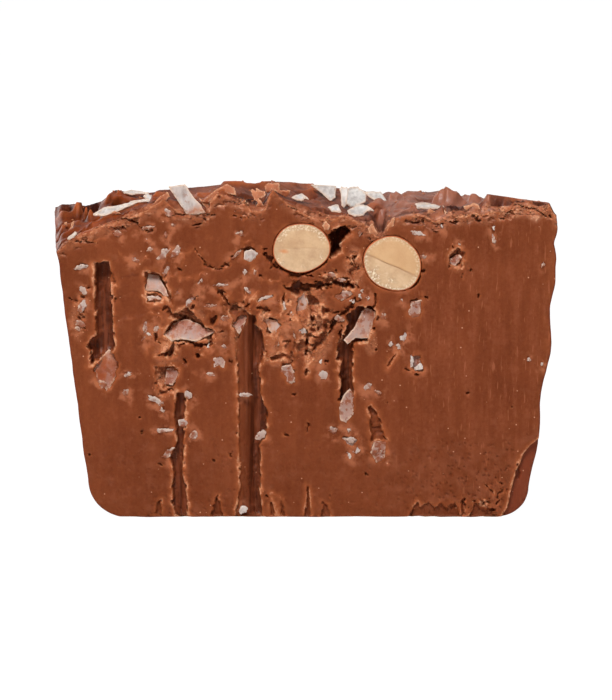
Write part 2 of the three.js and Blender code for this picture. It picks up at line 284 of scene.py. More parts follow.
def cells(p, q, size, seed):
    """Distance to the nearest seed point and to the next one, and the nearest one's own number."""
    a, b = p / size, q / size
    i, j = np.floor(a).astype(np.int64), np.floor(b).astype(np.int64)
    near, far, own = np.full(a.shape, 9.0), np.full(a.shape, 9.0), np.zeros(a.shape)
    for di in (-1, 0, 1):
        for dj in (-1, 0, 1):
            ci, cj = i + di, j + dj
            away = np.hypot(a - ci - dice(ci, cj, seed), b - cj - dice(ci, cj, seed + 1))
            closer = away < near
            far = np.where(closer, near, np.minimum(far, away))
            own = np.where(closer, dice(ci, cj, seed + 2), own)
            near = np.minimum(near, away)
    return near, far, own


def ease(value, low, high):
    """0 below low, 1 above high, and an S-shaped rise between."""
    t = np.clip((value - low) / (high - low), 0, 1)
    return t * t * (3 - 2 * t)


def inside(x, z, outline):
    """How far each point lies inside an outline. Outside it the distance is negative."""
    nearest, within = np.full(x.shape, 1e9), np.zeros(x.shape, bool)
    for (x0, z0), (x1, z1) in zip(outline, outline[1:] + outline[:1]):
        run, rise = x1 - x0, z1 - z0
        t = np.clip(((x - x0) * run + (z - z0) * rise) / (run * run + rise * rise + 1e-12), 0, 1)
        nearest = np.minimum(nearest, np.hypot(x - x0 - t * run, z - z0 - t * rise))
        if rise:
            within ^= ((z0 > z) != (z1 > z)) & (x < run * (z - z0) / rise + x0)
    return np.where(within, nearest, -nearest)


# %% [markdown]
# ## The block: walls, foot and swirled top
# The tin gave the loaf flared walls and rounded lower corners, and the top sagged and swirled as it set.
# One way would be to sculpt a box. Here a finely divided cube is laid over the slice's measures instead:
# each point of the cube knows how far it lies along, across and up the slice, and those three shares
# say where it goes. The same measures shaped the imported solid.

# %% Measures of the slice
DEPTH = 28
FRONT = -DEPTH / 2
HALF_WIDTH = 49.3
FOOT_RADIUS = {"left": 7.8, "right": 5.6}
FOOT_X = {"left": -41.7, "right": 43.9}
FLARE = {"left": 0.112, "right": 0.0817}
BACK_SPREAD = {"left": 2.2, "right": 1.0}
WALL_BULGES = {
    "left": [(50, 0.5, 9), (50.5, -0.45, 2.4), (45.5, -0.35, 3.5), (60.4, -0.6, 1.3)],
    "right": [
        (52, 0.9, 8), (34, 1.2, 7), (16, 1.0, 8), (59.5, -0.4, 2.5), (54.0, -0.75, 1.8), (46, 0.55, 3),
        (33, 0.4, 5),
    ],
}
FRONT_CREST = [
    (-48, 53), (-46, 54), (-42.5, 56), (-37.5, 58), (-32.5, 60), (-29, 61.5), (-25, 62.5), (-20.5, 61),
    (-18.5, 61), (-15, 63), (-12, 62), (-7.5, 61.5), (-5.5, 64), (-3.5, 62.5), (1.5, 60.5), (8, 59.5),
    (12.5, 58), (17, 58.5), (20, 59.5), (31, 61), (41, 62), (47, 61.5), (49, 60),
]
BACK_CREST = [
    (-49.3, 57.6), (-47, 57.7), (-43.5, 57.4), (-40.2, 58.2), (-37.6, 60.4), (-33, 59.7), (-27.5, 60.3),
    (-15.5, 61.7), (-5.5, 61.9), (2, 61.4), (11, 60.6), (15.8, 59.6), (17.2, 60.1), (18.5, 59.9),
    (19.8, 59.1), (21.0, 59.9), (25.5, 59.9), (28.5, 60.6), (31, 59.6), (35.6, 58.4), (45, 57.2),
    (49.2, 56.7),
]
RIM_LINE = [
    (-46.5, 53), (-44, 55), (-40.5, 56.5), (-37, 58), (-33, 59), (-30, 60.5), (-27.5, 62),
    (-26.2, 62.8), (-24.5, 61), (-22.5, 59.7), (-20, 59.4), (-17.8, 60), (-17.3, 62.4), (-16, 63.7),
    (-14.5, 63.5), (-12.5, 62.5), (-10.5, 62), (-10, 60.5), (-8, 60.3), (-6.8, 61.2), (-6.2, 63),
    (-5.4, 64.5), (-4.2, 63), (-2, 61.4), (0, 60), (2.5, 59), (5.5, 58.8), (8, 59.6), (10.5, 58.5),
    (12.5, 57.6), (14, 55.6), (15, 55.5), (16.2, 57), (17, 58.8), (20, 59.5), (22.5, 59.8),
    (25.5, 58.3), (28.5, 59.7), (31, 59.6), (33, 60.2), (34, 59.7), (36.5, 60.3), (38.5, 61),
    (42.5, 61), (44.5, 60.4), (46, 61.5), (47, 61.5), (48.3, 59),
]
TORN_RIM = [
    (-49, 0.4), (-40, 0.7), (-33, 0.9), (-27, 0.4), (-24, 0.3), (-18, 0.7), (-12, 0.9), (-8, 0.35),
    (-5, 0.25), (0, 0.6), (6, 0.5), (12, 0.9), (19, 0.4), (24, 0.8), (28, 1.0), (33, 0.9), (36, 0.5),
    (40, 1.0), (46, 1.0), (49, 0.5),
]


def wall(side, z, back):
    """x of a side wall at a height, from the front face (back 0) to the back face (back 1)."""
    radius, sign = FOOT_RADIUS[side], {"left": -1, "right": 1}[side]
    low = np.clip(radius - z, 0, radius)
    out = FLARE[side] * np.maximum(0, z - radius) - (radius - np.sqrt(radius**2 - low**2))
    for height, reach_out, reach in WALL_BULGES[side]:
        out = out + reach_out * np.exp(-(((z - height) / reach) ** 2))
    out = out + BACK_SPREAD[side] * ease(z, 30, 60) * back
    return FOOT_X[side] + sign * out


def crest(x, back):
    """Height of the top before its swirls, between the lines of the front and back edges."""
    front_line = np.interp(x, *np.array(FRONT_CREST).T)
    back_line = np.interp(x, *np.array(BACK_CREST).T)
    share = ease(back, 0, 1) * 0.6 + back * 0.4
    return front_line * (1 - share) + back_line * share


# %% [markdown]
# ## Swirls on the top
# The topping was pulled about while it was warm, which left round ridges with narrow gullies and a few
# deep pits between them. Single strokes carry the folds that matter, each a capsule with a rise or a
# fall, and smooth noise turned upside down, so that its creases become thin ridges, carries the rest.

# %% Strokes of the topping: from x, y to x, y, then width and rise
STROKES = [
    (-48.2, 4.2, -44.2, 3.4, 2.6, 1.5), (-44.2, 3.4, -42.6, -0.6, 1.3, 1.2),
    (-42.6, -0.6, -40.6, -4.6, 1.1, 1.1), (-40.6, -4.6, -37.6, -3.6, 1.1, 1.3),
    (-45.0, 3.6, -45.2, 13.6, 1.4, 1.9), (-38.8, 4.0, -38.4, 13.6, 1.3, 1.6),
    (-37.2, 13.0, -31.5, 12.6, 2.4, 0.7), (-36.5, 7.0, -33.0, 12.0, 1.0, 0.9),
    (-47.6, -4.6, -43.6, -5.6, 3.2, 1.3), (-46.8, -9.6, -44.0, -8.6, 2.4, 1.0),
    (-40.0, -11.6, -27.0, -8.0, 2.6, 0.9), (-38.0, -9.0, -28.5, -4.2, 2.4, 0.8),
    (-28.0, 6.0, -21.0, 12.5, 2.0, 0.9), (-20.0, -7.5, -14.0, 5.0, 3.0, 1.0),
    (-17.0, -10.5, -13.0, -9.5, 4.2, 1.6), (-13.5, 3.5, -6.5, 5.5, 1.8, 1.2),
    (-5.0, -8.0, -2.0, 8.0, 4.0, 1.2), (1.0, 13.0, 2.0, 2.0, 2.6, 0.9),
    (13.5, -4.0, 21.0, 6.5, 2.6, 1.5), (19.0, -6.0, 25.0, 12.0, 5.0, 1.0),
    (20.0, -11.5, 26.5, -11.0, 2.4, 0.7), (29.5, -6.5, 36.0, 3.0, 4.5, 0.6),
    (35.4, -12.2, 40.0, -9.6, 1.5, 1.3), (40.0, -9.6, 45.6, -9.8, 1.5, 1.5),
    (35.0, 4.0, 48.0, 9.0, 3.0, 0.8), (34.6, -11.8, 39.0, -10.4, 1.8, 1.4),
    (25.6, -6.0, 27.4, -7.0, 2.6, 1.7), (27.4, -7.0, 33.0, -7.4, 2.8, 1.7),
]

# %% Pits of the topping: x, y, half length, half width, heading in degrees and depth
PITS = [
    (-46.4, 8.8, 4.2, 1.7, 88, 2.0), (-42.4, 6.6, 5.8, 1.7, 92, 4.8), (-41.6, -1.2, 1.8, 1.0, 40, 2.6),
    (-46.6, -0.6, 1.9, 1.3, 10, 1.5), (-46.4, -7.2, 1.9, 0.7, 8, 1.8), (-35.6, 2.6, 2.6, 1.6, 60, 2.4),
    (-31.5, 4.0, 3.6, 1.0, 30, 1.4), (-24.6, -2.0, 3.4, 1.4, 60, 1.0), (-9.8, -8.0, 3.0, 3.4, 80, 3.4),
    (-9.6, 9.6, 4.6, 2.2, 0, 2.2), (1.0, -2.0, 3.0, 2.0, 90, 1.2), (8.5, 10.5, 2.4, 2.0, 0, 2.0),
    (15.0, -10.4, 4.6, 1.5, 88, 3.6), (24.6, -1.0, 3.0, 1.2, 40, 1.2), (28.6, 6.5, 3.4, 1.6, 70, 2.4),
    (30.5, -8.4, 2.6, 1.2, 60, 1.4), (38.0, 1.0, 4.0, 1.8, 20, 1.4), (45.5, 4.6, 2.6, 2.0, 15, 2.6),
    (45.4, -6.4, 2.2, 1.3, 0, 2.6), (24.6, -5.6, 2.0, 1.2, 60, 2.0),
]


def topping_rise(x, y):
    """How far the swirled top stands above or below the plain crest."""
    bent_x, bent_y = x + 0.9 * swell(x, y, 5, 11), y + 0.9 * swell(x, y, 5, 12)
    creases = 1 - 2 * np.abs(swell(bent_x, bent_y * 0.8, 7.5, 13, 2))
    fine = 1 - 2 * np.abs(swell(bent_x, bent_y * 0.7, 3.4, 16, 2))
    rise = 0.7 * creases**3 + 0.35 * fine**5 + 0.25 * swell(x, y, 3.2, 14, 2) - 0.2
    for x0, y0, x1, y1, width, height in STROKES:
        run, climb = x1 - x0, y1 - y0
        t = np.clip(((bent_x - x0) * run + (bent_y - y0) * climb) / (run**2 + climb**2), 0, 1)
        off = np.hypot(bent_x - x0 - t * run, bent_y - y0 - t * climb) / (width / 2)
        rise = rise + height * np.exp(-(off**2))
    for px, py, long_half, wide_half, heading, fall in PITS:
        c, s = cos(radians(heading)), sin(radians(heading))
        along, across = (bent_x - px) * c + (bent_y - py) * s, (bent_y - py) * c - (bent_x - px) * s
        shallow = py > 3 and px > -40
        inside = ease(1.25 - np.hypot(along / long_half, across / wide_half), 0, 0.85)
        rise = rise - (0.6 if shallow else 1.2) * fall * inside
    return rise


# %% [markdown]
# ## Hollows in the cut face
# The knife dragged flakes down through the fudge and left channels, caves and slots. Each is drawn as an
# outline on the face, and the face is pushed in wherever a point lies inside one. A little smooth noise
# added to every point first makes the outlines ragged, as torn fudge is. Cutting real holes with a
# boolean would give cleaner walls, but clean walls are just what torn fudge does not have.

# %% Outlines of the hollows: name, depth, kind of floor, and points as x, z
HOLLOWS = [
    ("left channel", 3.4, "streaks", [
        (-39.8, 50.3), (-37, 50.3), (-36.5, 48.5), (-36.5, 45.5), (-36.2, 38), (-36, 34), (-36.5, 32.7),
        (-38, 32), (-41, 30), (-40.6, 33), (-41.5, 34), (-39.5, 36.5), (-39.6, 44)]),
    ("left channel side", 1.2, "crumbs", [(-36.5, 48.5), (-35.5, 47), (-35.5, 46), (-36.7, 45.3)]),
    ("long channel", 3.4, "slope", [
        (-14.2, 40.4), (-13.3, 42), (-11.6, 41.5), (-9, 39.8), (-9, 38.3), (-7.4, 36.7), (-7.3, 31.7),
        (-8.3, 29.5), (-7.8, 24), (-6.7, 21), (-7, 16), (-8.2, 14.5), (-8.2, 6.5), (-7.8, -1),
        (-13.2, -1), (-12.5, 4), (-12.2, 12), (-12.5, 28), (-13, 36), (-13.6, 39.4)]),
    ("low channel", 2.3, "streaks", [
        (-24.2, 25), (-22.5, 24.7), (-22.6, 20), (-23, 16), (-23, 9), (-22.4, 4), (-22.4, -1),
        (-24, -1), (-25.5, 3), (-25, 9), (-25.5, 12), (-24.4, 15.4), (-24.8, 20)]),
    ("middle cave", 3.0, "streaks", [
        (8.7, 40.4), (10.7, 41.8), (13.3, 41.8), (14, 40.7), (13.3, 37.4), (12.5, 34.8), (10, 34.7),
        (9.7, 30), (10, 25), (9.2, 23.2), (7, 23.2), (7.3, 29.5), (7.6, 30.7), (6.3, 31.4), (7.4, 35),
        (8.7, 38.3), (8.2, 39.8)]),
    ("slanted slot", 1.4, "crumbs", [
        (12.5, 22.3), (13.4, 22.6), (15, 19.7), (16.2, 15.4), (14, 15.5), (13.3, 14.2), (13.3, 16.5),
        (13, 19.4)]),
    ("beside the almond", 6.5, "smooth", [
        (4.7, 55.6), (6.8, 57), (8.3, 57.5), (9.4, 56), (7.5, 54), (7.5, 52.2), (5, 51), (5.5, 53.2)]),
    ("top notch", 5.0, "smooth", [
        (13.5, 58), (13.7, 60), (16.3, 60), (16.3, 58.3), (15.4, 56), (14.5, 56), (13.6, 56.8)]),
    ("crown notch", 4.6, "smooth", [
        (-12.4, 62.6), (-10, 64.4), (-8.4, 62), (-9, 60.8), (-10.4, 61), (-10.8, 62), (-11.8, 61.7)]),
    ("cave over broad flake", 2.8, "crumbs", [
        (-25.7, 41.7), (-24.7, 40.4), (-23.6, 40.7), (-22.2, 41.6), (-21, 40.5), (-18.6, 38),
        (-16.7, 36.8), (-17.5, 35.4), (-20, 35), (-25, 34.8), (-26.6, 36.2), (-25.4, 38.6), (-24, 39.4),
        (-25.4, 39.5)]),
    ("void under cave", 3.4, "crumbs", [
        (-25, 35), (-26, 32.7), (-28, 32.2), (-25.7, 31.6), (-24.6, 32.2), (-24.6, 35)]),
    ("under broad", 2.0, "crumbs", [(-22.5, 35), (-20.8, 35), (-20.2, 34.2), (-22, 34.2)]),
    ("hole of small flake", 1.9, "crumbs", [
        (-27.7, 29.8), (-24.7, 30.2), (-23.5, 29.5), (-24.8, 26), (-27.5, 26.5), (-28, 28)]),
    ("ragged crack", 1.6, "crumbs", [
        (-28.4, 30), (-27.7, 30), (-27.3, 27), (-27.6, 25.4), (-24, 25.5), (-25.8, 24.6), (-27.6, 24.3),
        (-28, 26.5)]),
    ("pocket of left flake", 2.2, "crumbs", [
        (-30, 48.5), (-27.5, 48.3), (-25.7, 45.7), (-25, 42.5), (-26, 43.7), (-28.2, 44.3), (-30, 44.5),
        (-30.3, 46.6)]),
    ("below left flake", 2.2, "crumbs", [
        (-30.2, 44.2), (-28, 44.4), (-26.6, 43.6), (-27, 42.5), (-29.5, 42.5)]),
    ("crumble top", 3.2, "crumbs", [
        (-3.8, 45.7), (-1, 45.5), (1.4, 46), (2, 44.8), (-1, 43.7), (-2.8, 44.7)]),
    ("crumble top right", 2.8, "crumbs", [(7.8, 45.7), (9.3, 46.8), (9.6, 45), (8.3, 45.2)]),
    ("crumble top mid", 1.8, "crumbs", [(3.6, 45.7), (5.3, 45.6), (5.8, 45), (4.4, 45)]),
    ("crumble centre", 2.2, "crumbs", [
        (1, 39.8), (4.2, 39), (5.2, 38.4), (4.7, 37), (3.4, 36.5), (1.6, 38.7)]),
    ("crumble left", 2.8, "crumbs", [(0.3, 36), (1.2, 37), (2, 36.5), (0.8, 34.5)]),
    ("crumble right", 2.6, "crumbs", [
        (3.4, 36.5), (5, 37.4), (4.6, 34.8), (2.3, 33), (1.4, 33), (2.3, 34.8)]),
    ("crumble low", 2.0, "crumbs", [(0, 33), (1.4, 33.5), (2.2, 32), (1.2, 30.5)]),
    ("crumble slit", 1.8, "crumbs", [(0.5, 29.7), (1.3, 29.7), (1.2, 28.2), (0.5, 28.2)]),
    ("crumble band", 2.0, "crumbs", [
        (-6.6, 31.7), (-4, 32.6), (-2, 32.4), (-1.7, 30.6), (-2.6, 30.5), (-3.3, 31.7), (-6, 31)]),
    ("upright flake pocket", 2.2, "crumbs", [
        (0.8, 44), (2.3, 44), (3.4, 41.8), (3, 39.8), (1.4, 39.8)]),
    ("left of upright", 1.8, "crumbs", [(-3.8, 45), (-3.2, 43.7), (-3.5, 41.3), (-4, 42.5)]),
    ("right high pocket", 2.0, "crumbs", [
        (28, 52), (29.5, 53), (31, 52), (30.5, 49.4), (28.8, 49.4), (27.8, 50.7)]),
    ("right crescent", 2.0, "crumbs", [(21.4, 32), (22.3, 32.3), (22.8, 30.6), (21.8, 29.8)]),
    ("right scar", 0.8, "smooth", [(16, 30.3), (17.2, 32), (18.4, 33), (17, 30.5), (16.2, 29.8)]),
    ("foot slit left", 0.9, "smooth", [(-28.7, 0.5), (-27.3, 0.5), (-27.4, 3.6), (-28, 3.4)]),
    ("foot slit mid", 1.1, "smooth", [(-18.4, -1), (-16.4, 5), (-15.2, -1)]),
    ("foot slit a", 0.9, "smooth", [(-6.4, 0.2), (-6, 5), (-5, 0.3)]),
    ("foot slit b", 0.8, "smooth", [(-4.4, 0.5), (-4.2, 4.6), (-3.3, 0.2)]),
    ("foot slit tall", 1.1, "smooth", [(0.3, -1), (1, 6.4), (1.5, 6), (1.6, -1)]),
    ("foot slit c", 0.9, "smooth", [(3.6, 0.2), (4, 3.2), (5, 2.2), (5.6, -1), (3.8, -1)]),
    ("right foot recess", 0.9, "smooth", [
        (20, -1), (22.4, 3.4), (23, 2), (24.5, 3.2), (25.6, 1.8), (27, 2.8), (28, 1.8), (29, 3),
        (30.2, 2.4), (31, -1)]),
    ("foot slot", 1.2, "smooth", [(31, 4), (31.6, 3.6), (31.8, 0.4), (31, 0.4)]),
    ("foot facet", 1.1, "smooth", [
        (32.7, 1), (33.2, 3), (34.7, 2.8), (37.3, 1.6), (38, -1), (32.6, -1)]),
    ("foot hole", 2.4, "smooth", [(34.6, 3), (35.3, 3.2), (36, 2), (35, 2.3)]),
    ("chip slit", 1.9, "smooth", [(41.4, 9.6), (42, 11), (42.7, 8.6), (42, 6.4), (41.4, 8)]),
]

# %% Small pits of the cut face: x, z, length, width, heading in degrees
SMALL_PITS = [
    (-20, 57.5, 2, 0.5, 15), (-18.5, 58.5, 1, 0.5, -30), (-42.5, 39.5, 1, 0.5, -30),
    (-41, 45.5, 1, 0.5, 15), (-42, 43.5, 1, 0.5, -45), (-23.5, 49, 1, 0.5, -30),
    (-26, 46.5, 1, 0.5, -60), (-28.5, 43, 2, 1, 15), (-25, 43, 2, 0.5, -75), (-25.5, 41, 2, 1, -75),
    (-15.5, 44.5, 1.5, 1, -45), (-17, 39, 2, 1, 60), (-18, 35.5, 1.5, 1, 15), (-28, 35.5, 2, 0.5, 90),
    (-20, 32, 1, 1, -45), (-22.5, 31, 1, 0.5, -45), (-19, 34, 1.5, 0.5, 15), (-17.5, 49.5, 1, 0.5, -30),
    (-14.5, 50, 1, 0.5, -45), (-7, 53, 1, 0.5, -30), (-6, 51, 1, 1, 0), (-5.5, 49.5, 1.5, 0.5, 30),
    (4, 50, 1.5, 1, 45), (10, 50, 2.5, 0.5, 90), (10, 49, 2, 0.5, 15), (9, 51, 1, 0.5, 0),
    (5.5, 47, 1, 0.5, 60), (8.5, 41.5, 1, 0.5, 0), (6.5, 40.5, 2, 0.5, 15), (14, 43.5, 1.5, 0.5, 90),
    (14.5, 39.5, 1, 0.5, -60), (10, 43, 1, 0.5, -75), (23, 48.5, 1, 0.5, 0), (23.5, 43.5, 1, 0.5, -30),
    (-3, 35, 1.5, 0.5, 15), (-7, 41, 1.5, 1, -45), (1, 29, 1.5, 0.5, 90), (20, 29.5, 1, 0.5, -15),
    (22, 28.5, 1, 0.5, -30), (30.5, 51.5, 1.5, 0.5, -75), (29.5, 49.5, 1, 0.5, -45),
    (30.5, 48, 1, 0.5, -75), (33.5, 58.5, 1, 0.5, -30), (47, 59, 1, 0.5, -60),
    (-27.5, 10.5, 1, 0.5, -30), (-3, 16.5, 1, 0.5, 15), (1, 18, 2, 0.5, 75), (-9, 3.5, 2, 1.5, -60),
    (35.5, 3, 2, 0.5, -30), (37, 1.5, 1, 1, 0),
]
CHANCE_PITS = 26

# %% Cracks between plates of fudge: width, depth, and points as x, z
CRACKS = [
    (0.35, 0.9, [(-20.3, 52.7), (-18.4, 50), (-17.4, 49.3), (-15.4, 49.2), (-14.2, 50.4)]),
    (0.35, 0.9, [(-13.4, 51.4), (-11.7, 52.7), (-9.6, 53)]),
    (0.6, 1.6, [(-7.2, 51.6), (-5.5, 49.7), (-2, 47.8), (2, 47.8)]),
    (0.5, 1.3, [(-16.2, 45.3), (-14.7, 43.6), (-14, 42)]),
    (0.35, 0.9, [(-8.5, 43), (-5.8, 44)]),
    (0.35, 0.9, [(-22.7, 41.6), (-20, 44)]),
    (0.15, 0.3, [(-11, 46.8), (-11, 42.7)]),
    (0.45, 1.3, [(-28.2, 36.5), (-28, 34.8), (-27.2, 34.3)]),
    (0.7, 1.8, [(-23.5, 34.4), (-21.5, 34.8), (-19.8, 34), (-17.5, 34.3)]),
    (0.5, 1.5, [(1.3, 44.5), (2, 41.8), (3.5, 39), (5.6, 38.8), (7.3, 39.8), (11, 43.2)]),
    (0.45, 1.4, [(14, 44.2), (14, 42.2), (13.2, 41.5)]),
    (0.6, 1.9, [(4.6, 38), (4.8, 36.4), (3.6, 35.7), (1.6, 36)]),
    (0.7, 2.0, [(0.6, 37), (1, 34.4), (2.6, 34), (4.3, 35.4), (6.6, 38.8)]),
    (0.6, 1.9, [(7.6, 37.8), (7.2, 34.7), (6.6, 32)]),
    (1.1, 2.8, [(-1.4, 45.2), (-0.4, 46), (3, 45.7), (7.6, 46.2), (9.2, 45.7)]),
    (0.3, 1.1, [(-36.2, 58.2), (-33.5, 58.8), (-31.8, 58), (-30.8, 57)]),
    (0.25, 0.8, [(-36.5, 57.2), (-33.4, 57)]),
    (0.3, 0.9, [(-30, 56.2), (-28.3, 56.6)]),
    (0.25, 0.8, [(-43, 54.4), (-39, 54)]),
    (0.25, 1.0, [(-24.6, 59.5), (-22.3, 59.6)]),
    (0.3, 1.0, [(-20, 59.3), (-16.6, 59.6)]),
    (0.25, 0.9, [(-13.2, 59.4), (-10.5, 59)]),
    (0.25, 0.8, [(-2.8, 61.2), (-1.2, 60.4)]),
    (0.3, 0.9, [(0.8, 60), (2.2, 59.8), (3.6, 59.2)]),
    (0.3, 1.0, [(19.6, 58.2), (21.5, 58), (23, 58.2)]),
    (0.3, 1.0, [(28.2, 58), (29.6, 58)]),
    (0.35, 1.0, [(31, 59.6), (32.8, 59.3), (33.5, 59)]),
    (0.25, 0.8, [(37.4, 59), (38.5, 58.6)]),
    (0.35, 1.2, [(38.8, 59.8), (40.2, 61.2), (42.5, 60.8), (44.4, 60.4), (46.3, 59)]),
    (0.2, 0.6, [(40.8, 59.8), (43.2, 59.6)]),
    (0.4, 1.0, [(9.2, 50.6), (9.6, 49.2), (9, 48), (9.5, 46.8)]),
    (0.3, 0.8, [(28.4, 53.2), (29, 52.2), (28.6, 50.8)]),
    (0.3, 0.8, [(39, 5.6), (38, 4.6), (38.3, 3.3), (37.7, 2.7)]),
    (0.3, 0.6, [(35.6, 6.5), (37.3, 4.5)]),
    (0.3, 0.7, [(38, 7.2), (38.7, 6.7)]),
]

# %% Crumbly patches: x, z, half width, half height, strength
CRUMBLY = [
    (1.0, 40.5, 5.0, 5.6, 1.0), (2.0, 34.2, 4.2, 4.0, 1.0), (-4.5, 36.0, 2.6, 4.5, 0.7),
    (9.8, 49.4, 2.0, 4.4, 1.0), (6.8, 47.4, 4.2, 1.4, 0.8), (-22.5, 39.6, 4.4, 2.4, 0.8),
    (-26.0, 33.0, 2.4, 2.8, 0.8), (-26.8, 26.4, 2.0, 3.0, 0.7), (13.2, 35.0, 1.4, 3.0, 0.7),
    (-43.0, 39.6, 1.4, 4.0, 0.6), (29.4, 51.0, 1.8, 2.4, 0.6), (-12.5, 41.5, 2.6, 1.2, 0.7),
    (-17.0, 36.2, 2.6, 1.6, 0.7), (-7.0, 38.6, 1.6, 3.2, 0.8), (-4.0, 31.4, 3.4, 1.6, 0.7),
    (-13.0, 36.0, 0.9, 5.0, 0.6),
]
pit_dice = np.random.default_rng(12)
for px, pz, wide_half, high_half, strength in CRUMBLY * 2 + [(0, 28, 42, 26, 0)] * CHANCE_PITS:
    aside, above = pit_dice.uniform(-1, 1, 2)
    long_side, heading = pit_dice.uniform(0.4, 0.8 + strength), pit_dice.uniform(-90, 90)
    wide_side = 0.3 + 0.25 * long_side
    SMALL_PITS.append((px + aside * wide_half, pz + above * high_half, long_side, wide_side, heading))
print(len(HOLLOWS), "hollows,", len(SMALL_PITS), "small pits and", len(CRUMBLY), "crumbly patches drawn")

# %% [markdown]
# ## Coconut laid bare
# Each flake that can be told apart is a piece of its own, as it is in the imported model. A flake is a thin
# shaving of coconut flesh, so it is drawn by its outline on a leaning plane, curled a little and given a
# wall. Their outlines are needed before the fudge is made, because the fudge is hollowed round them.

# %% Flakes in the cut face: middle, lean, curl, stain at the top, middle and foot, and outline
FACE_FLAKES = {
    "channel_left": ((-37.6, -13.3, 29.0), 0.13, -0.5, (0.3, 0.95, 0.55), [
        (0.3, 4.2), (1.6, 3.4), (2.3, 1.7), (1.7, -1), (0.6, -3.2), (-0.2, -4), (-0.7, -2.4),
        (-2, -2.2), (-2.6, 0.6), (-0.8, 3)]),
    "pocket_left": ((-28.1, -12.9, 45.6), 0.35, 0.2, (0.15, 0.2, 0.8), [
        (-1.4, 2.3), (0.5, 2), (1.8, -0.3), (2.5, -1.8), (1.7, -1.8), (0.6, -0.9), (-2, -0.9),
        (-1.5, 1.7)]),
    "cave_broad": ((-22.1, -12.8, 36.7), 0.6, 0.4, (0.8, 0.5, 0.0), [
        (-4.6, -0.4), (-3.3, 0.3), (-2.8, 1.4), (-0.3, 2.3), (2.4, 1.2), (5.3, 0), (2.8, -1.2),
        (1.6, -1.7), (-1.3, -1.3), (-3, -1.6)]),
    "under_cave": ((-25.4, -13.0, 27.9), 0.3, 0.3, (0.6, 0.5, 0.55), [
        (-0.9, 1.3), (0.3, 1.8), (1.7, 1), (1.4, -0.3), (0.4, -1.6), (-1.2, -1.3)]),
    "channel_long": ((-12.1, -12.4, 38.3), 0.4, 0.2, (0.9, 0.8, 0.3), [
        (-1.4, 0), (0.4, 1.5), (1.4, 1.6), (1.3, 0.5), (0, -2), (-1.2, -0.6)]),
    "centre_left": ((-6.0, -13.3, 38.2), 0.2, 0.2, (0.3, 0.1, 0.0), [
        (-2, 2.4), (-1.5, 1.3), (0.9, 0.8), (2.3, -0.2), (1.4, -1.2), (0.8, -2.5), (-1.4, 0.5)]),
    "centre_upright": ((0.1, -13.2, 40.9), 0.15, 0.3, (0.0, 0.25, 1.0), [
        (-0.8, 2.6), (0.5, 3.6), (1, 1.5), (0.8, -0.6), (1, -1.2), (0.4, -2.8), (-0.4, -2.5),
        (-1.5, -0.4)]),
    "above_channel": ((11.1, -13.1, 37.5), 0.22, 0.4, (0.5, 0.12, 0.3), [
        (0.3, 3), (0.9, 3.7), (1.7, 3.7), (2.9, 2.9), (2.9, 1.6), (1.5, -2), (-0.9, -2), (-2.3, -3),
        (-3.2, -2.3), (-1.3, -0.2)]),
    "below_channel": ((8.6, -13.8, 22.0), 0.1, 0.2, (0.4, 0.25, 0.3), [
        (0.6, 3.6), (1.4, 2), (1.3, -1.3), (-0.2, -3), (-1.3, -2.5), (-1.5, 0.5), (-0.4, 2.6)]),
    "right_small": ((21.9, -13.2, 30.3), 0.15, 0.2, (0.9, 0.6, 0.15), [
        (-1, 1), (-0.2, 2), (0.8, 1.5), (1.3, -1), (0.4, -1.5), (-1, -0.6)]),
    "right_high": ((29.2, -13.0, 50.7), 0.3, 0.2, (0.6, 0.55, 0.35), [
        (-1.2, 0), (0.4, 1.2), (1.3, 0.5), (0, -1.2), (-1.2, -0.8)]),
    "low_right": ((14.8, -13.8, 13.3), 0.04, 0.2, (0.45, 0.5, 0.5), [
        (-0.9, 2), (1.6, 1.8), (1.3, 0), (1, -1.6), (-0.4, -2.4), (-1.6, -0.3)]),
    "low_mid": ((9.3, -13.7, 15.1), 0.1, 0.2, (0.3, 0.3, 0.2), [
        (-1.6, 0.8), (1.5, 0.6), (1.2, -0.5), (0, -1), (-1, -0.6)]),
    "mid_low": ((-2.6, -13.8, 28.6), 0.06, 0.2, (0.4, 0.4, 0.25), [
        (-1.3, 1.5), (0.4, 1.8), (1.3, -0.4), (1.2, -1.6), (-0.2, -1.9), (-1.5, 0.4)]),
    "mid_left": ((-16.0, -13.8, 30.8), 0.08, 0.2, (0.6, 0.35, 0.15), [
        (-1.4, 0.7), (0, 1.4), (1.2, 0.6), (1, -1.2), (0, -0.6), (-0.9, -0.9)]),
    "upper_mid": ((-9.8, -13.7, 51.7), 0.1, 0.3, (0.0, 0.0, 0.2), [
        (-1.2, 0.8), (0, 1.2), (1.7, 0.5), (0.9, -0.6), (0, -1.2), (-1.4, -0.8)]),
    "right_mid": ((21.5, -13.8, 41.1), 0.05, 0.2, (0.45, 0.4, 0.4), [
        (-0.7, 1.6), (1.3, 2), (1, -1.2), (-0.3, -1.5), (-1.4, -0.9)]),
    "over_centre": ((7.8, -13.6, 43.9), 0.12, 0.2, (0.35, 0.35, 0.3), [
        (-1.7, -0.3), (-0.3, 1), (1.7, 1), (1.8, 0.2), (-0.2, -1), (-1.2, -0.7)]),
}

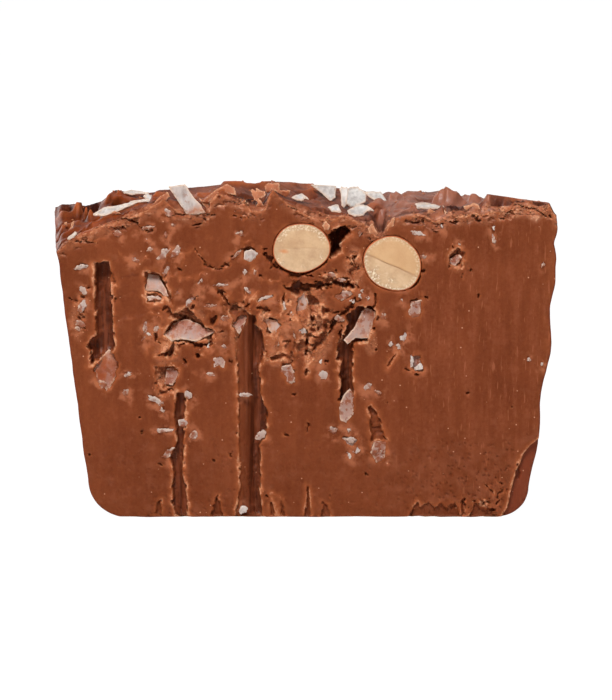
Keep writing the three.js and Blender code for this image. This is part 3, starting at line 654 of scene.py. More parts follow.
# %% How a flake in the face is coloured: heading of its stain, warmth, and how glassy it is from foot to top
FLAKE_LOOKS = {
    "channel_left": (90, 0.9, (0.1, 0.1)), "pocket_left": (140, 0.7, (0.1, 0.5)),
    "cave_broad": (80, 0.9, (0.2, 0.4)),
    "under_cave": (90, 0.3, (0.8, 0.9)), "channel_long": (60, 0.8, (0.4, 0.4)),
    "centre_left": (120, 1.0, (0.0, 0.3)),
    "centre_upright": (0, 0.9, (0.0, 0.1)), "above_channel": (80, 0.8, (0.1, 1.1)),
    "below_channel": (90, 0.4, (0.5, 0.8)),
    "right_small": (90, 0.3, (0.5, 0.6)), "right_high": (60, 0.3, (0.9, 1.0)),
    "low_right": (90, 0.4, (0.8, 0.9)),
    "strip_front": (125, 1.1, (0.45, 0.5)), "mid_low": (90, 0.3, (0.8, 0.7)),
    "mid_left": (90, 0.3, (0.6, 0.4)),
    "upper_mid": (90, 0.1, (0.5, 0.2)), "over_centre": (90, 0.3, (0.7, 0.8)),
    "chip_front": (90, 0.9, (0.0, 0.0)),
    "crumb_mid": (90, 0.7, (0.0, 0.0)), "plank_right": (90, 0.5, (0.0, 0.0)),
    "cupped_mid": (90, 0.4, (0.0, 0.1)),
}

# %% Flakes on the top, in the same order of values
TOP_FLAKES = {
    "strip_front": ((-22.0, -12.6, 62.1), 0.25, 0.05, (0.0, 0.0, 0.0), [
        (-3.6, 2.6), (-0.2, 3), (1, 1), (2.4, -0.5), (3.6, -2.3), (1.8, -2.6), (0, -2.7), (-2.2, 0.7)]),
    "fold_left": ((-34.6, -8.7, 60.35), 1.3, 0.3, (0.0, 0.05, 0.1), [
        (-5.5, -1.2), (-3.5, -0.2), (0, 0.3), (2.2, 1), (5, 1.3), (5.3, 0.8), (3, 0.7), (0, -0.5),
        (-3.2, -1.4), (-4.8, -1.4)]),
    "sliver_left": ((-44.0, -12.0, 55.2), 0.9, 0.05, (0.0, 0.0, 0.1), [
        (-0.9, -0.4), (0.6, 0.8), (1, 0.5), (0.5, -0.2), (-0.6, -0.8)]),
    "fork_left": ((-29.5, -5.0, 61.3), 1.3, 0.2, (0.0, 0.0, 0.1), [
        (-1.3, 0.5), (-0.4, 1), (0.5, 0.4), (1.7, 0.3), (0.4, -1.2), (-0.2, -1.2), (0, -0.5)]),
    "far_left": ((-33.6, 8.0, 60.6), 1.6, 0.3, (0.0, 0.0, 0.0), [
        (-2.3, 0), (-0.3, 0.4), (3.2, 0), (3, -0.3), (-1.2, -0.3)]),
    "chip_front": ((-0.4, -11.0, 62.5), 1, 0.2, (0.0, 0.0, 0.35), [
        (-1.8, 0), (0.2, 0.7), (1.6, -0.3), (1, -0.2), (0.2, -0.6), (-1, -0.3)]),
    "blade_mid": ((4.4, -1.0, 62.1), 1, 0.5, (0.05, 0.1, 0.1), [
        (-2.8, 1.3), (2.2, 1), (2, -1), (1, -1.6), (-0.6, -0.3), (-2.2, 0.8)]),
    "upright_mid": ((8.0, -7.4, 62.45), 0.5, 0.3, (0.05, 0.1, 0.1), [
        (-0.8, 1), (-0.5, 1.5), (0, 1.2), (0.5, 1.5), (1, 1), (0.5, -1.4), (0, -2.4), (-0.5, -1.8),
        (-0.6, -0.2)]),
    "broad_mid": ((10.5, -1.2, 61.2), 1.1, 0.4, (0.0, 0.0, 0.05), [
        (-2, 1), (-1.2, 1.6), (0.3, 1.6), (2, 0.5), (1.8, -0.9), (-1, -2), (-2.2, -1)]),
    "cupped_mid": ((10.9, -9.6, 59.7), 0.9, 0.6, (0.0, 0.0, 0.1), [
        (-2.4, 0), (-0.2, 1), (1.6, 0.9), (2.8, 0), (1.6, 0), (0.8, -0.8), (-0.5, -1), (-1.8, -0.6)]),
    "wing_mid": ((14.5, 3.6, 60.3), 1.5, 0.3, (0.0, 0.0, 0.0), [
        (-2.4, 1), (1, 0.9), (2.3, -0.9), (1.3, -1), (-1.3, 0)]),
    "crumb_mid": ((6.2, -11.2, 60.4), 0.9, 0.2, (0.0, 0.0, 0.1), [
        (-1.4, 0.2), (0.2, 0.7), (0.6, 0.6), (1.3, -0.7), (-0.6, -0.6)]),
    "plank_right": ((24.6, -8.6, 60.3), 1, 0.1, (0.0, 0.0, 0.0), [
        (-3, 0.5), (-1.5, 0.8), (1.6, 0.3), (2.8, 0), (2.5, -0.5), (-0.8, -0.3), (-2.6, -0.3)]),
    "tail_right": ((36.5, 6.0, 59.4), 1.5, 0.2, (0.0, 0.0, 0.0), [
        (-1.6, 0.3), (1.6, 0.4), (1.2, 0), (-1, -0.5)]),
}

# %% Small bits of coconut in the cut face: x, z, length, width, heading, and how brown
BITS = [
    (-42, 49.5, 3, 1, 0, 0.2), (-42, 45, 2, 1, -60, 0.3), (-42, 42, 3, 1.5, 75, 0.2),
    (-42.5, 38.5, 2.5, 1, -30, 0.8), (-43, 37.5, 1, 0.5, 0, 0.5), (-26.5, 52, 3.5, 1, 45, 0.2),
    (-24, 52.5, 3.5, 1, 60, 0.5), (-26, 49, 3, 1, 60, 0.4), (-32, 51, 2, 0.5, -30, 0.4),
    (-29, 53, 1.5, 0.5, 30, 0.5), (-29.5, 54.5, 0.5, 0.5, 0, 0.1), (-26, 56, 1, 0.5, 75, 0.5),
    (-24.5, 57.5, 1, 0.5, 0, 0.4), (-25.5, 60, 2, 1, -45, 0.5), (-35, 56, 2, 1, -30, 0.6),
    (-29.5, 57, 3, 0.5, 15, 0.7), (-12, 56, 2, 0.5, 0, 0.5), (-12.5, 52, 3, 0.5, 45, 0.6),
    (-11, 48.5, 1, 1, 0, 0.2), (-9, 48.5, 0.5, 0.5, 0, 0.4), (-19.5, 46.5, 1.5, 0.5, 60, 0.4),
    (-15.5, 46, 3, 0.5, 0, 0.2), (-10.5, 45, 1.5, 0.5, -45, 0.3), (-21.5, 43, 3.5, 1, 45, 0.2),
    (-28.5, 43.5, 2.5, 0.5, 0, 0.3), (-24, 44.5, 1, 0.5, 45, 0.5), (-17.5, 42, 2.5, 0.5, 0, 0.5),
    (-30, 38, 3, 1, 75, 0.4), (-28, 37.5, 1.5, 1, 45, 0.4), (-29.5, 36.5, 1, 0.5, -45, 0.1),
    (-30.5, 35.5, 1.5, 0.5, 45, 0.4), (-15, 34, 1, 0.5, -15, 0.2), (-18, 34, 0.5, 0.5, 0, 0.1),
    (-15, 39.5, 1.5, 1, -15, 0.5), (-7, 43.5, 3, 0.5, 15, 0.3), (-3.5, 42, 1.5, 0.5, -75, 0.3),
    (-2, 40.5, 1, 0.5, 60, 0.3), (0, 37, 1.5, 1, 0, 0.2), (-2, 37, 4, 0.5, -60, 0.4),
    (-5, 34.5, 1, 0.5, 30, 0.3), (3.5, 31, 0.5, 0.5, 0, 0.1), (4, 28.5, 2, 1.5, -45, 0.3),
    (7.5, 47, 2, 0.5, 0, 0.4), (5.5, 48, 1.5, 1, 0, 0.7), (11, 56, 1, 0.5, 60, 0.4),
    (11, 44, 1, 0.5, -60, 0.1), (12.5, 43.5, 0.5, 0.5, 0, 0.1), (9.5, 43, 1, 0.5, -15, 0.1),
    (11.5, 45, 0.5, 0.5, 0, 0.2), (19, 43, 0.5, 0.5, 0, 0.2), (15.5, 40, 1, 1, 0, 0.7),
    (7, 39.5, 2, 1, -30, 0.5), (19.5, 36, 2.5, 1, 60, 0.2), (18.5, 34, 1.5, 0.5, -60, 0.2),
    (17, 34.5, 1.5, 0.5, 90, 0.2), (21, 31, 2.5, 0.5, 90, 0.1), (22.5, 30, 1.5, 1, 15, 0.1),
    (22, 56, 3, 0.5, -15, 0.2), (23, 51.5, 1.5, 0.5, 0, 0.4), (36, 56, 4.5, 0.5, -75, 0.2),
    (36.5, 57, 0.5, 0.5, 0, 0), (26.5, 57.5, 0.5, 0.5, 0, 0.1), (46, 50, 1, 0.5, -60, 0.5),
    (43.5, 31.5, 1, 0.5, 45, 0.3), (46, 30.5, 0.5, 0.5, 0, 0.2), (30, 54, 0.5, 0.5, 0, 0.3),
    (-38.5, 26.5, 2, 1, -45, 0.8), (-33.5, 28.5, 2, 0.5, 15, 0.3), (-34, 25, 1.5, 1, 45, 0.4),
    (-28.5, 23.5, 3.5, 1, -30, 0.3), (-27, 21.5, 1, 0.5, -60, 0.2), (-22, 24.5, 2, 1.5, -45, 0.3),
    (-23, 19, 2, 1.5, -30, 0.2), (-21, 16.5, 1.5, 1.5, 0, 0.4), (-26.5, 17.5, 4, 0.5, 0, 0.3),
    (-26, 13, 3, 1, 45, 0.4), (-17.5, 28.5, 2, 0.5, -15, 0.3), (-11, 24.5, 3, 0.5, 0, 0.2),
    (-8, 16.5, 2.5, 1.5, 45, 0.3), (-11.5, 1.5, 2, 1.5, 45, 0.1), (6, 17.5, 1.5, 1.5, 60, 0.4),
    (12.5, 26, 2, 1, 45, 0.3), (14.5, 25, 1.5, 0.5, -15, 0.5), (9, 17.5, 1, 0.5, 0, 0.3),
    (9.5, 15.5, 2, 1, 0, 0.2), (9, 12.5, 2, 0.5, -60, 0.1), (10.5, 13.5, 2, 1, 75, 0.3),
    (14, 13.5, 2.5, 1, 75, 0.5), (15.5, 13, 1.5, 0.5, -60, 0.4),
]

# %% Almonds: middle as x, z, then half length, half width and tilt, where a gap shows, and the split line
ALMONDS = {
    "almond_left": ((-0.2, 53.1), (5.5, 4.75, 8), (196, 345), (0.0, -0.02, 0.25)),
    "almond_right": ((17.2, 50.1), (5.75, 5.1, -36), (296, 350), (-0.4, -0.444, 1.0)),
}
print(len(FACE_FLAKES), "flakes in the face,", len(TOP_FLAKES), "on the top and", len(BITS), "small bits")

# %% [markdown]
# ## The cut face as a field
# One function answers, for any point of the face, how deep the fudge is there and what kind of surface
# shows: a lit lip round a hollow, crumbs, a pale haze over coconut that lies just under the surface.
# It is asked twice, once to push the points in and once to colour the finished mesh.


# %% Almond outline
def almond_reach(heading, name):
    """Distance from an almond's middle to its outline, an oval with a few soft corners."""
    long_half, short_half, tilt = ALMONDS[name][1]
    turn = np.radians(heading - tilt)
    oval = long_half * short_half / np.hypot(short_half * np.cos(turn), long_half * np.sin(turn))
    return oval * (1 + 0.014 * np.cos(3 * turn + 0.8) + 0.01 * np.cos(5 * turn + 2))


def almond_share(x, z, name):
    """1 on an almond's outline, less inside it and more outside, and the heading from its middle."""
    cx, cz = ALMONDS[name][0]
    heading = np.degrees(np.arctan2(z - cz, x - cx))
    return np.hypot(x - cx, z - cz) / almond_reach(heading, name), heading


# %% Depth and surface of the front
def ragged(x, z, seed):
    """Shifts points by chance, softly over a millimetre or two and sharply from crumb to crumb."""
    soft_x, soft_z = swell(x, z, 1.5, seed, 3), swell(x, z, 1.5, seed + 10, 3)
    block_x, block_z = cells(x, z, 0.85, seed + 20)[2] - 0.5, cells(x, z, 0.7, seed + 24)[2] - 0.5
    return x + 0.2 * soft_x + 0.42 * block_x, z + 0.2 * soft_z + 0.42 * block_z


def from_line(x, z, points):
    """Distance from a line drawn through several points."""
    nearest = np.full(x.shape, 1e9)
    for (x0, z0), (x1, z1) in zip(points, points[1:]):
        run, rise = x1 - x0, z1 - z0
        t = np.clip(((x - x0) * run + (z - z0) * rise) / (run * run + rise * rise), 0, 1)
        nearest = np.minimum(nearest, np.hypot(x - x0 - t * run, z - z0 - t * rise))
    return nearest


def from_spot(x, z, spot, grow=0.0):
    """1 on an ellipse given by its middle, length, width and heading, and less inside it."""
    px, pz, long_side, wide_side, heading = spot
    c, s = cos(radians(heading)), sin(radians(heading))
    along, across = (x - px) * c + (z - pz) * s, (z - pz) * c - (x - px) * s
    return np.hypot(along / (long_side / 2 + grow), across / (wide_side / 2 + grow))


def front_field(x, z):
    """Depth in millimetres behind the flat of the front face, and the marks that colour it."""
    tear_x, tear_z = ragged(x, z, 21)
    deep, lip, haze, crumb = (np.zeros(x.shape) for _ in range(4))
    patchy = ease(swell(x, z, 1.3, 35, 2), -0.6, 0.5)

    def around(xs, zs, reach):
        return (x > min(xs) - reach) & (x < max(xs) + reach) & (z > min(zs) - reach) & (z < max(zs) + reach)

    def sink(outline, depth, floor, wall_width=0.3):
        near = around(*zip(*outline), 2)
        s = inside(tear_x[near], tear_z[near], outline)
        px, pz = x[near], z[near]
        shape = 0.82 * ease(s, -0.05, wall_width) + 0.18 * ease(s, 0.2, 1.6)
        if floor == "crumbs":
            seed, next_one, own = cells(px, pz, 1.2, 41)
            shape = shape * (0.7 + 0.45 * own - 0.2 * ease(seed, 0.7, 0.0))
        if floor == "streaks":
            shape = shape * (1 + 0.12 * swell(px, pz * 0.05, 0.55, 43, 2) + 0.06 * swell(px, pz, 1.6, 44, 2))
        if floor == "slope":
            shape = shape * (0.3 + 0.16 * ease(px, -12.2, -10.6) + 0.54 * ease(px, -10.7, -9.0))
            shape = shape * (1 + 0.12 * swell(px, pz * 0.04, 0.5, 45, 2) + 0.05 * swell(px, pz, 1.4, 46, 2))
        deep[near] = np.maximum(deep[near], depth * shape)
        near_edge = ease(s, -1.1, -0.05) ** 1.5 * (s < 0.15)
        lip[near] = np.maximum(lip[near], near_edge * min(1.0, 0.5 + depth / 4))

    for name, depth, floor, outline in HOLLOWS:
        sink(outline, depth, floor)
    for middle, lean, curl, stain, outline in (*FACE_FLAKES.values(), TOP_FLAKES["strip_front"]):
        near = around(*zip(*((middle[0] + dx, middle[2] + dz) for dx, dz in outline)), 1)
        bed = middle[1] - FRONT + lean * (z[near] - middle[2])
        placed = [(middle[0] + dx, middle[2] + dz) for dx, dz in outline]
        s = inside(tear_x[near], tear_z[near], placed)
        above = inside(tear_x[near], tear_z[near] - 0.45, placed) * (z[near] > middle[2])
        bed = bed + (0.5 if middle[2] > 60 else 0.0)
        gap = ease(swell(x[near], z[near], 1.4, 38, 2), -0.1, 0.35)
        cut = np.maximum((bed + 0.1) * ease(s, 0.0, 0.22), (bed + 0.9) * ease(above, 0.0, 0.2) * gap)
        deep[near] = np.maximum(deep[near], cut)
        lip[near] = np.maximum(lip[near], 0.55 * ease(s, -0.7, -0.1) * (s < 0.1))
    for spot in SMALL_PITS:
        near = around([spot[0]], [spot[1]], spot[2] + 0.5)
        off = from_spot(tear_x[near], tear_z[near], spot)
        deep[near] = np.maximum(deep[near], min(1.9, 0.5 + spot[3]) * ease(1.15 - off, 0, 0.4))
        lip[near] = np.maximum(lip[near], 0.6 * ease(2.0 - off, 0, 0.9) * (off > 0.95))
    for width, depth, points in CRACKS:
        near = around(*zip(*points), 2)
        open_here = 0.2 + 0.5 * ease(swell(x[near], z[near], 0.9, 37, 3), -0.2, 0.5)
        off = from_line(tear_x[near], tear_z[near], points) / (width * open_here)
        deep[near] = np.maximum(deep[near], depth * ease(1.3 - off, 0, 0.5))
        lip[near] = np.maximum(lip[near], 0.8 * ease(off, 1.3 + 1.3 / width, 1.2) ** 1.5 * (off > 1.1))
    for px, pz, long_side, wide_side, heading, brown in BITS:
        near = around([px], [pz], long_side + 2)
        spot = (px, pz + 0.2, long_side * 0.85, wide_side * 0.8, heading)
        off = from_spot(tear_x[near], tear_z[near], spot)
        deep[near] = np.maximum(deep[near], 0.3 * ease(1.05 - off, 0, 0.4))
        beside = (px + 0.5 * long_side * (0.5 - brown), pz - 0.5, long_side, wide_side, heading)
        spread = from_spot(tear_x[near], tear_z[near], beside, 1.1)
        spread = spread + 0.7 * swell(x[near], z[near], 1.5, 39, 2)
        haze[near] = np.maximum(haze[near], 0.9 * ease(1.1 - spread, 0, 0.6))
    lip = lip * (0.35 + 0.65 * patchy)
    for name, ((cx, cz), _, gap, _) in ALMONDS.items():
        share, heading = almond_share(x + 0.25 * (tear_x - x), z + 0.25 * (tear_z - z), name)
        turned = heading % 360
        room = 0.002 + 0.07 * ease(turned, gap[0], gap[0] + 30) * ease(turned, gap[1], gap[1] - 30)
        room = room + 0.02 * ease(swell(x, z, 2.2, 47, 2), 0.3, 0.8)
        deep = np.maximum(deep, 3.4 * ease(share, 1.01 + room, 0.99 + room))
        lip = np.maximum(lip, 0.5 * patchy * ease(share, 1.16, 1.05) * (share > 1.01 + room))

    for px, pz, wide_half, high_half, strength in CRUMBLY:
        off = np.hypot((x - px) / wide_half, (z - pz) / high_half) + 0.35 * swell(x, z, 1.8, 51, 2)
        crumb = np.maximum(crumb, strength * ease(1.15 - off, 0, 0.5))
    rough = crumb > 0.02
    part_x, part_z, loose = tear_x[rough], tear_z[rough], crumb[rough]
    torn = swell(part_x, part_z * 0.85, 2.9, 61, 2) + 0.14 * swell(part_x, part_z, 0.55, 65, 2)
    gone = ease(torn, 0.42, 0.5)
    plate, grit = cells(part_x, part_z, 3.6, 67)[2], cells(x[rough], z[rough], 0.8, 69)[2]
    crumbled = (0.7 * (plate - 0.4) + 0.12 * (grit - 0.5)) * (1 - gone)
    deep[rough] += loose * (crumbled + (1.1 + 0.7 * grit) * gone)
    lip[rough] = np.maximum(lip[rough], loose * 1.1 * ease(torn, -0.1, 0.34) * (1 - gone))

    strength = np.interp(x, *np.array(TORN_RIM).T)
    rim = np.interp(x, *np.array(RIM_LINE).T) - z + 0.3 * swell(x, z * 0.3, 2.6, 53, 2)
    edge = np.interp(x, *np.array(RIM_LINE).T) - z
    torn_edge = ease(edge + 0.35 * swell(x, z, 0.8, 57, 2), 1.0, 0.35)
    lip = np.maximum(lip, torn_edge * (0.55 + 0.45 * strength))
    rimmed = ease(rim, 2.6, 0.6) * (0.3 + 0.7 * patchy) * strength
    flaked = ease(rim, 2.8, 1.2) * strength
    crumb = np.maximum(crumb, 0.55 * flaked)
    own = cells(tear_x / 1.6, tear_z * 1.2, 1.0, 55)[2]
    deep = deep + flaked * (0.3 * (own - 0.5) + 0.14 * swell(x, z, 0.8, 56, 2))
    split = swell(tear_x * 0.5, tear_z, 0.9, 58, 3)
    deep = deep + 0.8 * ease(split, 0.3, 0.36) * ease(rim, 2.7, 2.2) * ease(rim, 0.3, 0.8) * strength

    chip_edge = np.interp(
        z,
        [-1, 2, 5, 7, 9, 11.5, 12.6, 14.5, 16.4, 18],
        [38.2, 39.8, 40.4, 40.8, 41.5, 42.3, 42.6, 44.2, 46.4, 60],
    ) + 0.1 * swell(x, z, 0.6, 71, 2)
    chipped = ease(x, chip_edge, chip_edge + 0.28)
    deep = deep * (1 - chipped) + np.maximum(deep, 0.9 + 0.12 * np.maximum(0, x - chip_edge)) * chipped
    chip_lip = 0.9 * ease(x, chip_edge - 0.9, chip_edge - 0.05) * (x < chip_edge + 0.1)
    lip = np.maximum(lip * (1 - chipped), chip_lip)
    crumb = crumb * (1 - chipped)

    busy = ease(z, 24, 34) * ease(z, 59, 54) * ease(x, 12, 4) * ease(x, -45, -38)
    busy = busy * ease(swell(x, z, 7, 98, 2), -0.45, 0.1)
    near_one, next_one, own = cells(tear_x + 0.5 * swell(x, z, 1.3, 99, 2), tear_z * 1.2, 4.4, 97)
    deep = deep + 0.3 * (own - 0.5) * busy
    seam_lip = 0.75 * busy * patchy * ease(next_one - near_one, 0.16, 0.03)
    lip = np.maximum(lip, seam_lip * ease(swell(x, z, 1.9, 100, 2), -0.1, 0.3))
    low = ease(z + 1.4 * swell(x, z, 5, 81, 2), 19.0, 13.5) * (1 - chipped)
    drag_x, drag_z = x * 0.6 - z * 0.8, z * 0.6 + x * 0.8
    seed, _, own = cells(drag_x / 2.2, drag_z, 0.6, 83)
    amount = low * np.interp(x, [-50, -20, 10, 26, 42, 50], [0.25, 0.5, 0.35, 0.8, 1.0, 0.6])
    dragged = 0.4 * ease(seed, 0.36, 0.1) * (own > 0.66) + 0.05 * swell(drag_x * 0.35, drag_z, 0.8, 84, 2)
    deep = deep + amount * dragged
    streaks = swell(x, z * 0.045, 1.1, 91, 3)
    right_half = ease(x, 16, 26) * ease(z, 12, 20)
    deep = deep + 0.045 * streaks * (0.25 + 0.75 * right_half)
    deep = deep + 0.06 * swell(x, z, 6, 92, 2) + 0.02 * swell(x, z, 0.9, 93, 2)
    worn = ease(x, 44.0 + 0.8 * swell(x * 0, z, 4, 95, 2), 49.5) * (z > 18)
    deep = deep + 0.3 * worn
    lip = np.maximum(lip, 0.35 * worn * patchy)
    return deep, lip, haze, crumb, amount, chipped, rimmed


# %% Depth of the back
BACK_CHANNELS = [
    (-31, 47, 18, 1.5, 1.8), (-6, 31, -1, 1.1, 1.6), (13, 52, 33, 1.7, 2.0), (30, 20, -1, 1.0, 1.3),
]
back_dice = np.random.default_rng(407)
BACK_PITS = [
    (
        back_dice.uniform(-42, 43), back_dice.uniform(4, 55),
        back_dice.uniform(0.8, 3.0), back_dice.uniform(0.5, 1.3), back_dice.uniform(0, 180),
    )
    for _ in range(58)
]


def back_field(x, z):
    """Depth behind the flat of the back face, which is a plainer cut of the same fudge."""
    tear_x = x + 0.3 * swell(x, z, 1.1, 121, 3)
    tear_z = z + 0.3 * swell(x, z, 1.1, 131, 3)
    deep, lip = np.zeros(x.shape), np.zeros(x.shape)
    for cx, top, foot, half, depth in BACK_CHANNELS:
        taper = np.sqrt(np.clip((top - tear_z) / 3.5, 0, 1))
        half_here = half * (0.85 + 0.45 * swell(x * 0 + cx, z, 4.5, 135, 2)) * taper
        off_middle = np.abs(tear_x - cx - 0.9 * swell(x * 0, z, 9, 133))
        edge = np.minimum(np.minimum(top - tear_z, tear_z - foot), half_here - off_middle)
        deep = np.maximum(deep, depth * ease(edge, -0.05, 0.4))
        lip = np.maximum(lip, 0.8 * ease(edge, -0.9, -0.1) * (edge < 0.1))
    for px, pz, long_side, wide_side, heading in BACK_PITS:
        c, s = cos(radians(heading)), sin(radians(heading))
        ax, az = tear_x - px, tear_z - pz
        off = np.hypot((ax * c + az * s) / (long_side / 2), (az * c - ax * s) / (wide_side / 2))
        deep = np.maximum(deep, min(1.5, 0.4 + wide_side) * ease(1.12 - off, 0, 0.45))
        lip = np.maximum(lip, 0.5 * ease(1.9 - off, 0, 0.8) * (off > 0.95))
    rim = np.interp(x, *np.array(BACK_CREST).T) - z
    crumb = 0.8 * ease(rim + 0.9 * swell(x, z * 0.4, 3.0, 153, 2), 1.9, 0.7)
    for cx, cz, half in ((-31, 34, 4.5), (13, 44, 5), (2, 48, 4), (30, 40, 3.5)):
        within = 1.15 - np.hypot(x - cx, z - cz) / half - 0.4 * swell(x, z, 1.8, 151, 2)
        crumb = np.maximum(crumb, 0.7 * ease(within, 0, 0.5))
    seed, next_one, own = cells(tear_x, tear_z, 1.25, 161)
    crack = ease(next_one - seed, 0.13, 0.02) * (own > 0.3)
    deep = deep + crumb * (0.45 * (own - 0.45) + 0.25 * seed**2 + 0.75 * crack)
    lip = np.maximum(lip, crumb * (0.25 + 0.5 * (1 - own)) * (1 - crack))
    deep = deep + 0.06 * swell(x, z * 0.045, 1.1, 191, 3) + 0.06 * swell(x, z, 6, 192, 2)
    return deep, lip, crumb


# %% [markdown]
# ## Making the fudge
# The cube is cut by its edges, first across its depth, then up, then along, so that no face is divided
# twice. The rows crowd towards the front of the top, where the torn rim is. After the points are moved,
# a Decimate modifier takes out points where the fudge is smooth and keeps them where it is torn.

# %% Divide a cube and lay it over the slice
STEPS = ((500, 72, 318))
FUDGE_TRIANGLES = 196000

bm = bmesh.new()
bmesh.ops.create_cube(bm, size=1)
for axis in (1, 2, 0):
    along = [e for e in bm.edges if abs((e.verts[0].co - e.verts[1].co)[axis]) > 0.5]
    bmesh.ops.subdivide_edges(bm, edges=along, cuts=STEPS[axis] - 1, use_grid_fill=True)
fudge_mesh = bpy.data.meshes.new("fudge")
bm.to_mesh(fudge_mesh)
bm.free()
count = len(fudge_mesh.vertices)
shares = np.empty(count * 3, np.float32)
fudge_mesh.vertices.foreach_get("co", shares)
along, back, up = np.clip(shares.reshape(-1, 3).astype(float).T + 0.5, 0, 1)
print("cube divided into", len(fudge_mesh.polygons), "faces")


# %% Move its points
def give_way(behind, depth):
    """How much of a push is passed on to points further back, so that the skin never folds over."""
    return depth * np.clip(1 - behind / (2.2 * np.abs(depth) + 0.6), 0, 1)


FLAKE_FEET = []
for middle, lean, curl, stain, outline in TOP_FLAKES.values():
    columns = np.linspace(min(dx for dx, dz in outline) + 0.05, max(dx for dx, dz in outline) - 0.05, 24)
    feet = [
        min(
            z0 + (z1 - z0) * (at - x0) / (x1 - x0)
            for (x0, z0), (x1, z1) in zip(outline, outline[1:] + outline[:1])
            if (x0 > at) != (x1 > at)
        )
        for at in columns
    ]
    FLAKE_FEET.append((middle, lean, columns, np.array(feet)))


def under_flakes(x, y, height):
    """Keeps the topping below every flake that lies on it, and out of the line of sight to it."""
    for (cx, cy, cz), lean, columns, feet in FLAKE_FEET:
        middle_x, half_wide = (columns[0] + columns[-1]) / 2, (columns[-1] - columns[0]) / 2
        near = (np.abs(x - cx - middle_x) < half_wide + 1) & (np.abs(y - cy) < 5)
        dx, py = x[near] - cx, y[near]
        foot = np.interp(dx, columns, feet)
        foot_y = cy + lean * foot
        limit = cz + np.where(py < foot_y, foot + SIGHT_SLOPE * (py - foot_y), (py - cy) / lean) - 0.15
        beside = np.maximum(columns[0] - dx, dx - columns[-1])
        limit = limit + 3 * ease(beside, -0.3, 0.8) + 3 * ease(foot_y - py, 2.5, 4.0)
        limit = limit + 3 * ease((py - cy) / lean, 1.2, 2.6)
        height[near] = np.minimum(height[near], limit)
    return height


def swirled_rise(x, y, top):
    """The rise of the topping with its torn rims, kept under the line of the back edge as it is seen."""
    behind, before = y - FRONT, -FRONT - y
    rim_front, rim_back = np.exp(-behind / 1.3), np.exp(-before / 1.3)
    strength = np.interp(x, *np.array(TORN_RIM).T)
    own = cells(x + 0.3 * swell(x, y, 0.5, 173), y * 0.8, 1.1, 171)[2]
    torn = (1.2 * (own - 0.45) + 0.5 * swell(x, y, 0.6, 174, 2)) * strength
    rise = topping_rise(x, y) * (1 - 0.7 * rim_front) * (1 - 0.5 * rim_back) + 0.9 * rim_back * torn
    gutter = 1.5 * np.exp(-(((behind - 1.35) / 0.5) ** 2)) * ease(swell(x, y, 2.4, 177, 2), -0.35, 0.15)
    gutter = gutter * (0.3 + 0.7 * strength)
    rise = rise + 0.45 * torn * np.exp(-(((behind - 1.8) / 0.8) ** 2)) - gutter
    rise = under_flakes(x, y, top + rise) - top
    sheet = np.exp(-((behind / 0.75) ** 4))
    line = np.interp(x, *np.array(RIM_LINE).T) + 0.22 * strength * swell(x, y * 0.7, 0.55, 178, 2)
    rise = rise * (1 - sheet) + (line - np.interp(x, *np.array(FRONT_CREST).T)) * sheet
    sight = (CAMERA_DISTANCE + DEPTH) / (CAMERA_DISTANCE + y - FRONT)
    skyline = np.interp(x * sight, *np.array(BACK_CREST).T) + (DEPTH / 2 - y) * SIGHT_SLOPE - 0.5
    return np.minimum(rise, skyline - top)


back = 0.35 * back + 0.65 * back**2
y = FRONT + DEPTH * back
guess = wall("left", 57.0, back) * (1 - along) + wall("right", 57.0, back) * along
top = crest(guess, back)
rise = swirled_rise(guess, y, top)
side_gap = np.minimum(along, 1 - along) * 2 * HALF_WIDTH
rise = rise * ease(side_gap, -0.4, 2.2) - 0.9 * ease(side_gap, 1.6, 0.0)
z = top * up + give_way(top * (1 - up), rise) * ease(up, 0.0, 0.5)
x = wall("left", z, back) * (1 - along) + wall("right", z, back) * along

side = ease(side_gap, 0.6, 0.0)
wave = 0.16 * swell(y, z, 9, 181, 2) + 0.07 * swell(y, z, 2.4, 182, 2) + 0.05 * swell(y * 0.3, z, 1.6, 183)
x = x + side * wave * np.where(along < 0.5, -1, 1) * ease(z, 0, 4)

front_part = (y < FRONT + 12) & (z > 0.02)
deep, *_ = front_field(x[front_part], z[front_part])
y[front_part] += give_way(y[front_part] - FRONT, deep)
back_part = (y > -FRONT - 8) & (z > 0.02)
deep, *_ = back_field(x[back_part], z[back_part])
y[back_part] -= give_way(-FRONT - y[back_part], deep)

under = up < 1e-6
edge_gap = np.minimum(side_gap[under], np.minimum(y[under] - FRONT, -FRONT - y[under]))
z[under] += (0.12 + 0.12 * swell(x[under], y[under], 3, 185, 2)) * ease(edge_gap, 3.5, 0.0)
z = np.maximum(z, 0)
fudge_mesh.vertices.foreach_set("co", (np.stack([x, y, z], 1) * MM).astype(np.float32).ravel())
fudge_mesh.update()
print("slice", round(x.max() - x.min(), 1), "x", round(y.max() - y.min(), 1), "x", round(z.max(), 1), "mm")


# %% Thin it where it is smooth
def apply_modifiers(piece):
    """Puts what a piece's modifiers make into its own mesh."""
    bpy.context.view_layer.update()
    ready = piece.evaluated_get(bpy.context.evaluated_depsgraph_get())
    old, piece.data = piece.data, bpy.data.meshes.new_from_object(ready)
    piece.modifiers.clear()
    bpy.data.meshes.remove(old)


fudge = bpy.data.objects.new("fudge", fudge_mesh)
bpy.context.scene.collection.objects.link(fudge)
triangles = 2 * len(fudge_mesh.polygons)
if triangles > FUDGE_TRIANGLES:
    thin = fudge.modifiers.new("thin", "DECIMATE")
    thin.ratio = FUDGE_TRIANGLES / triangles
    thin.use_collapse_triangulate = True
    apply_modifiers(fudge)
fudge.data.name = "fudge"
print("fudge has", len(fudge.data.polygons), "faces")

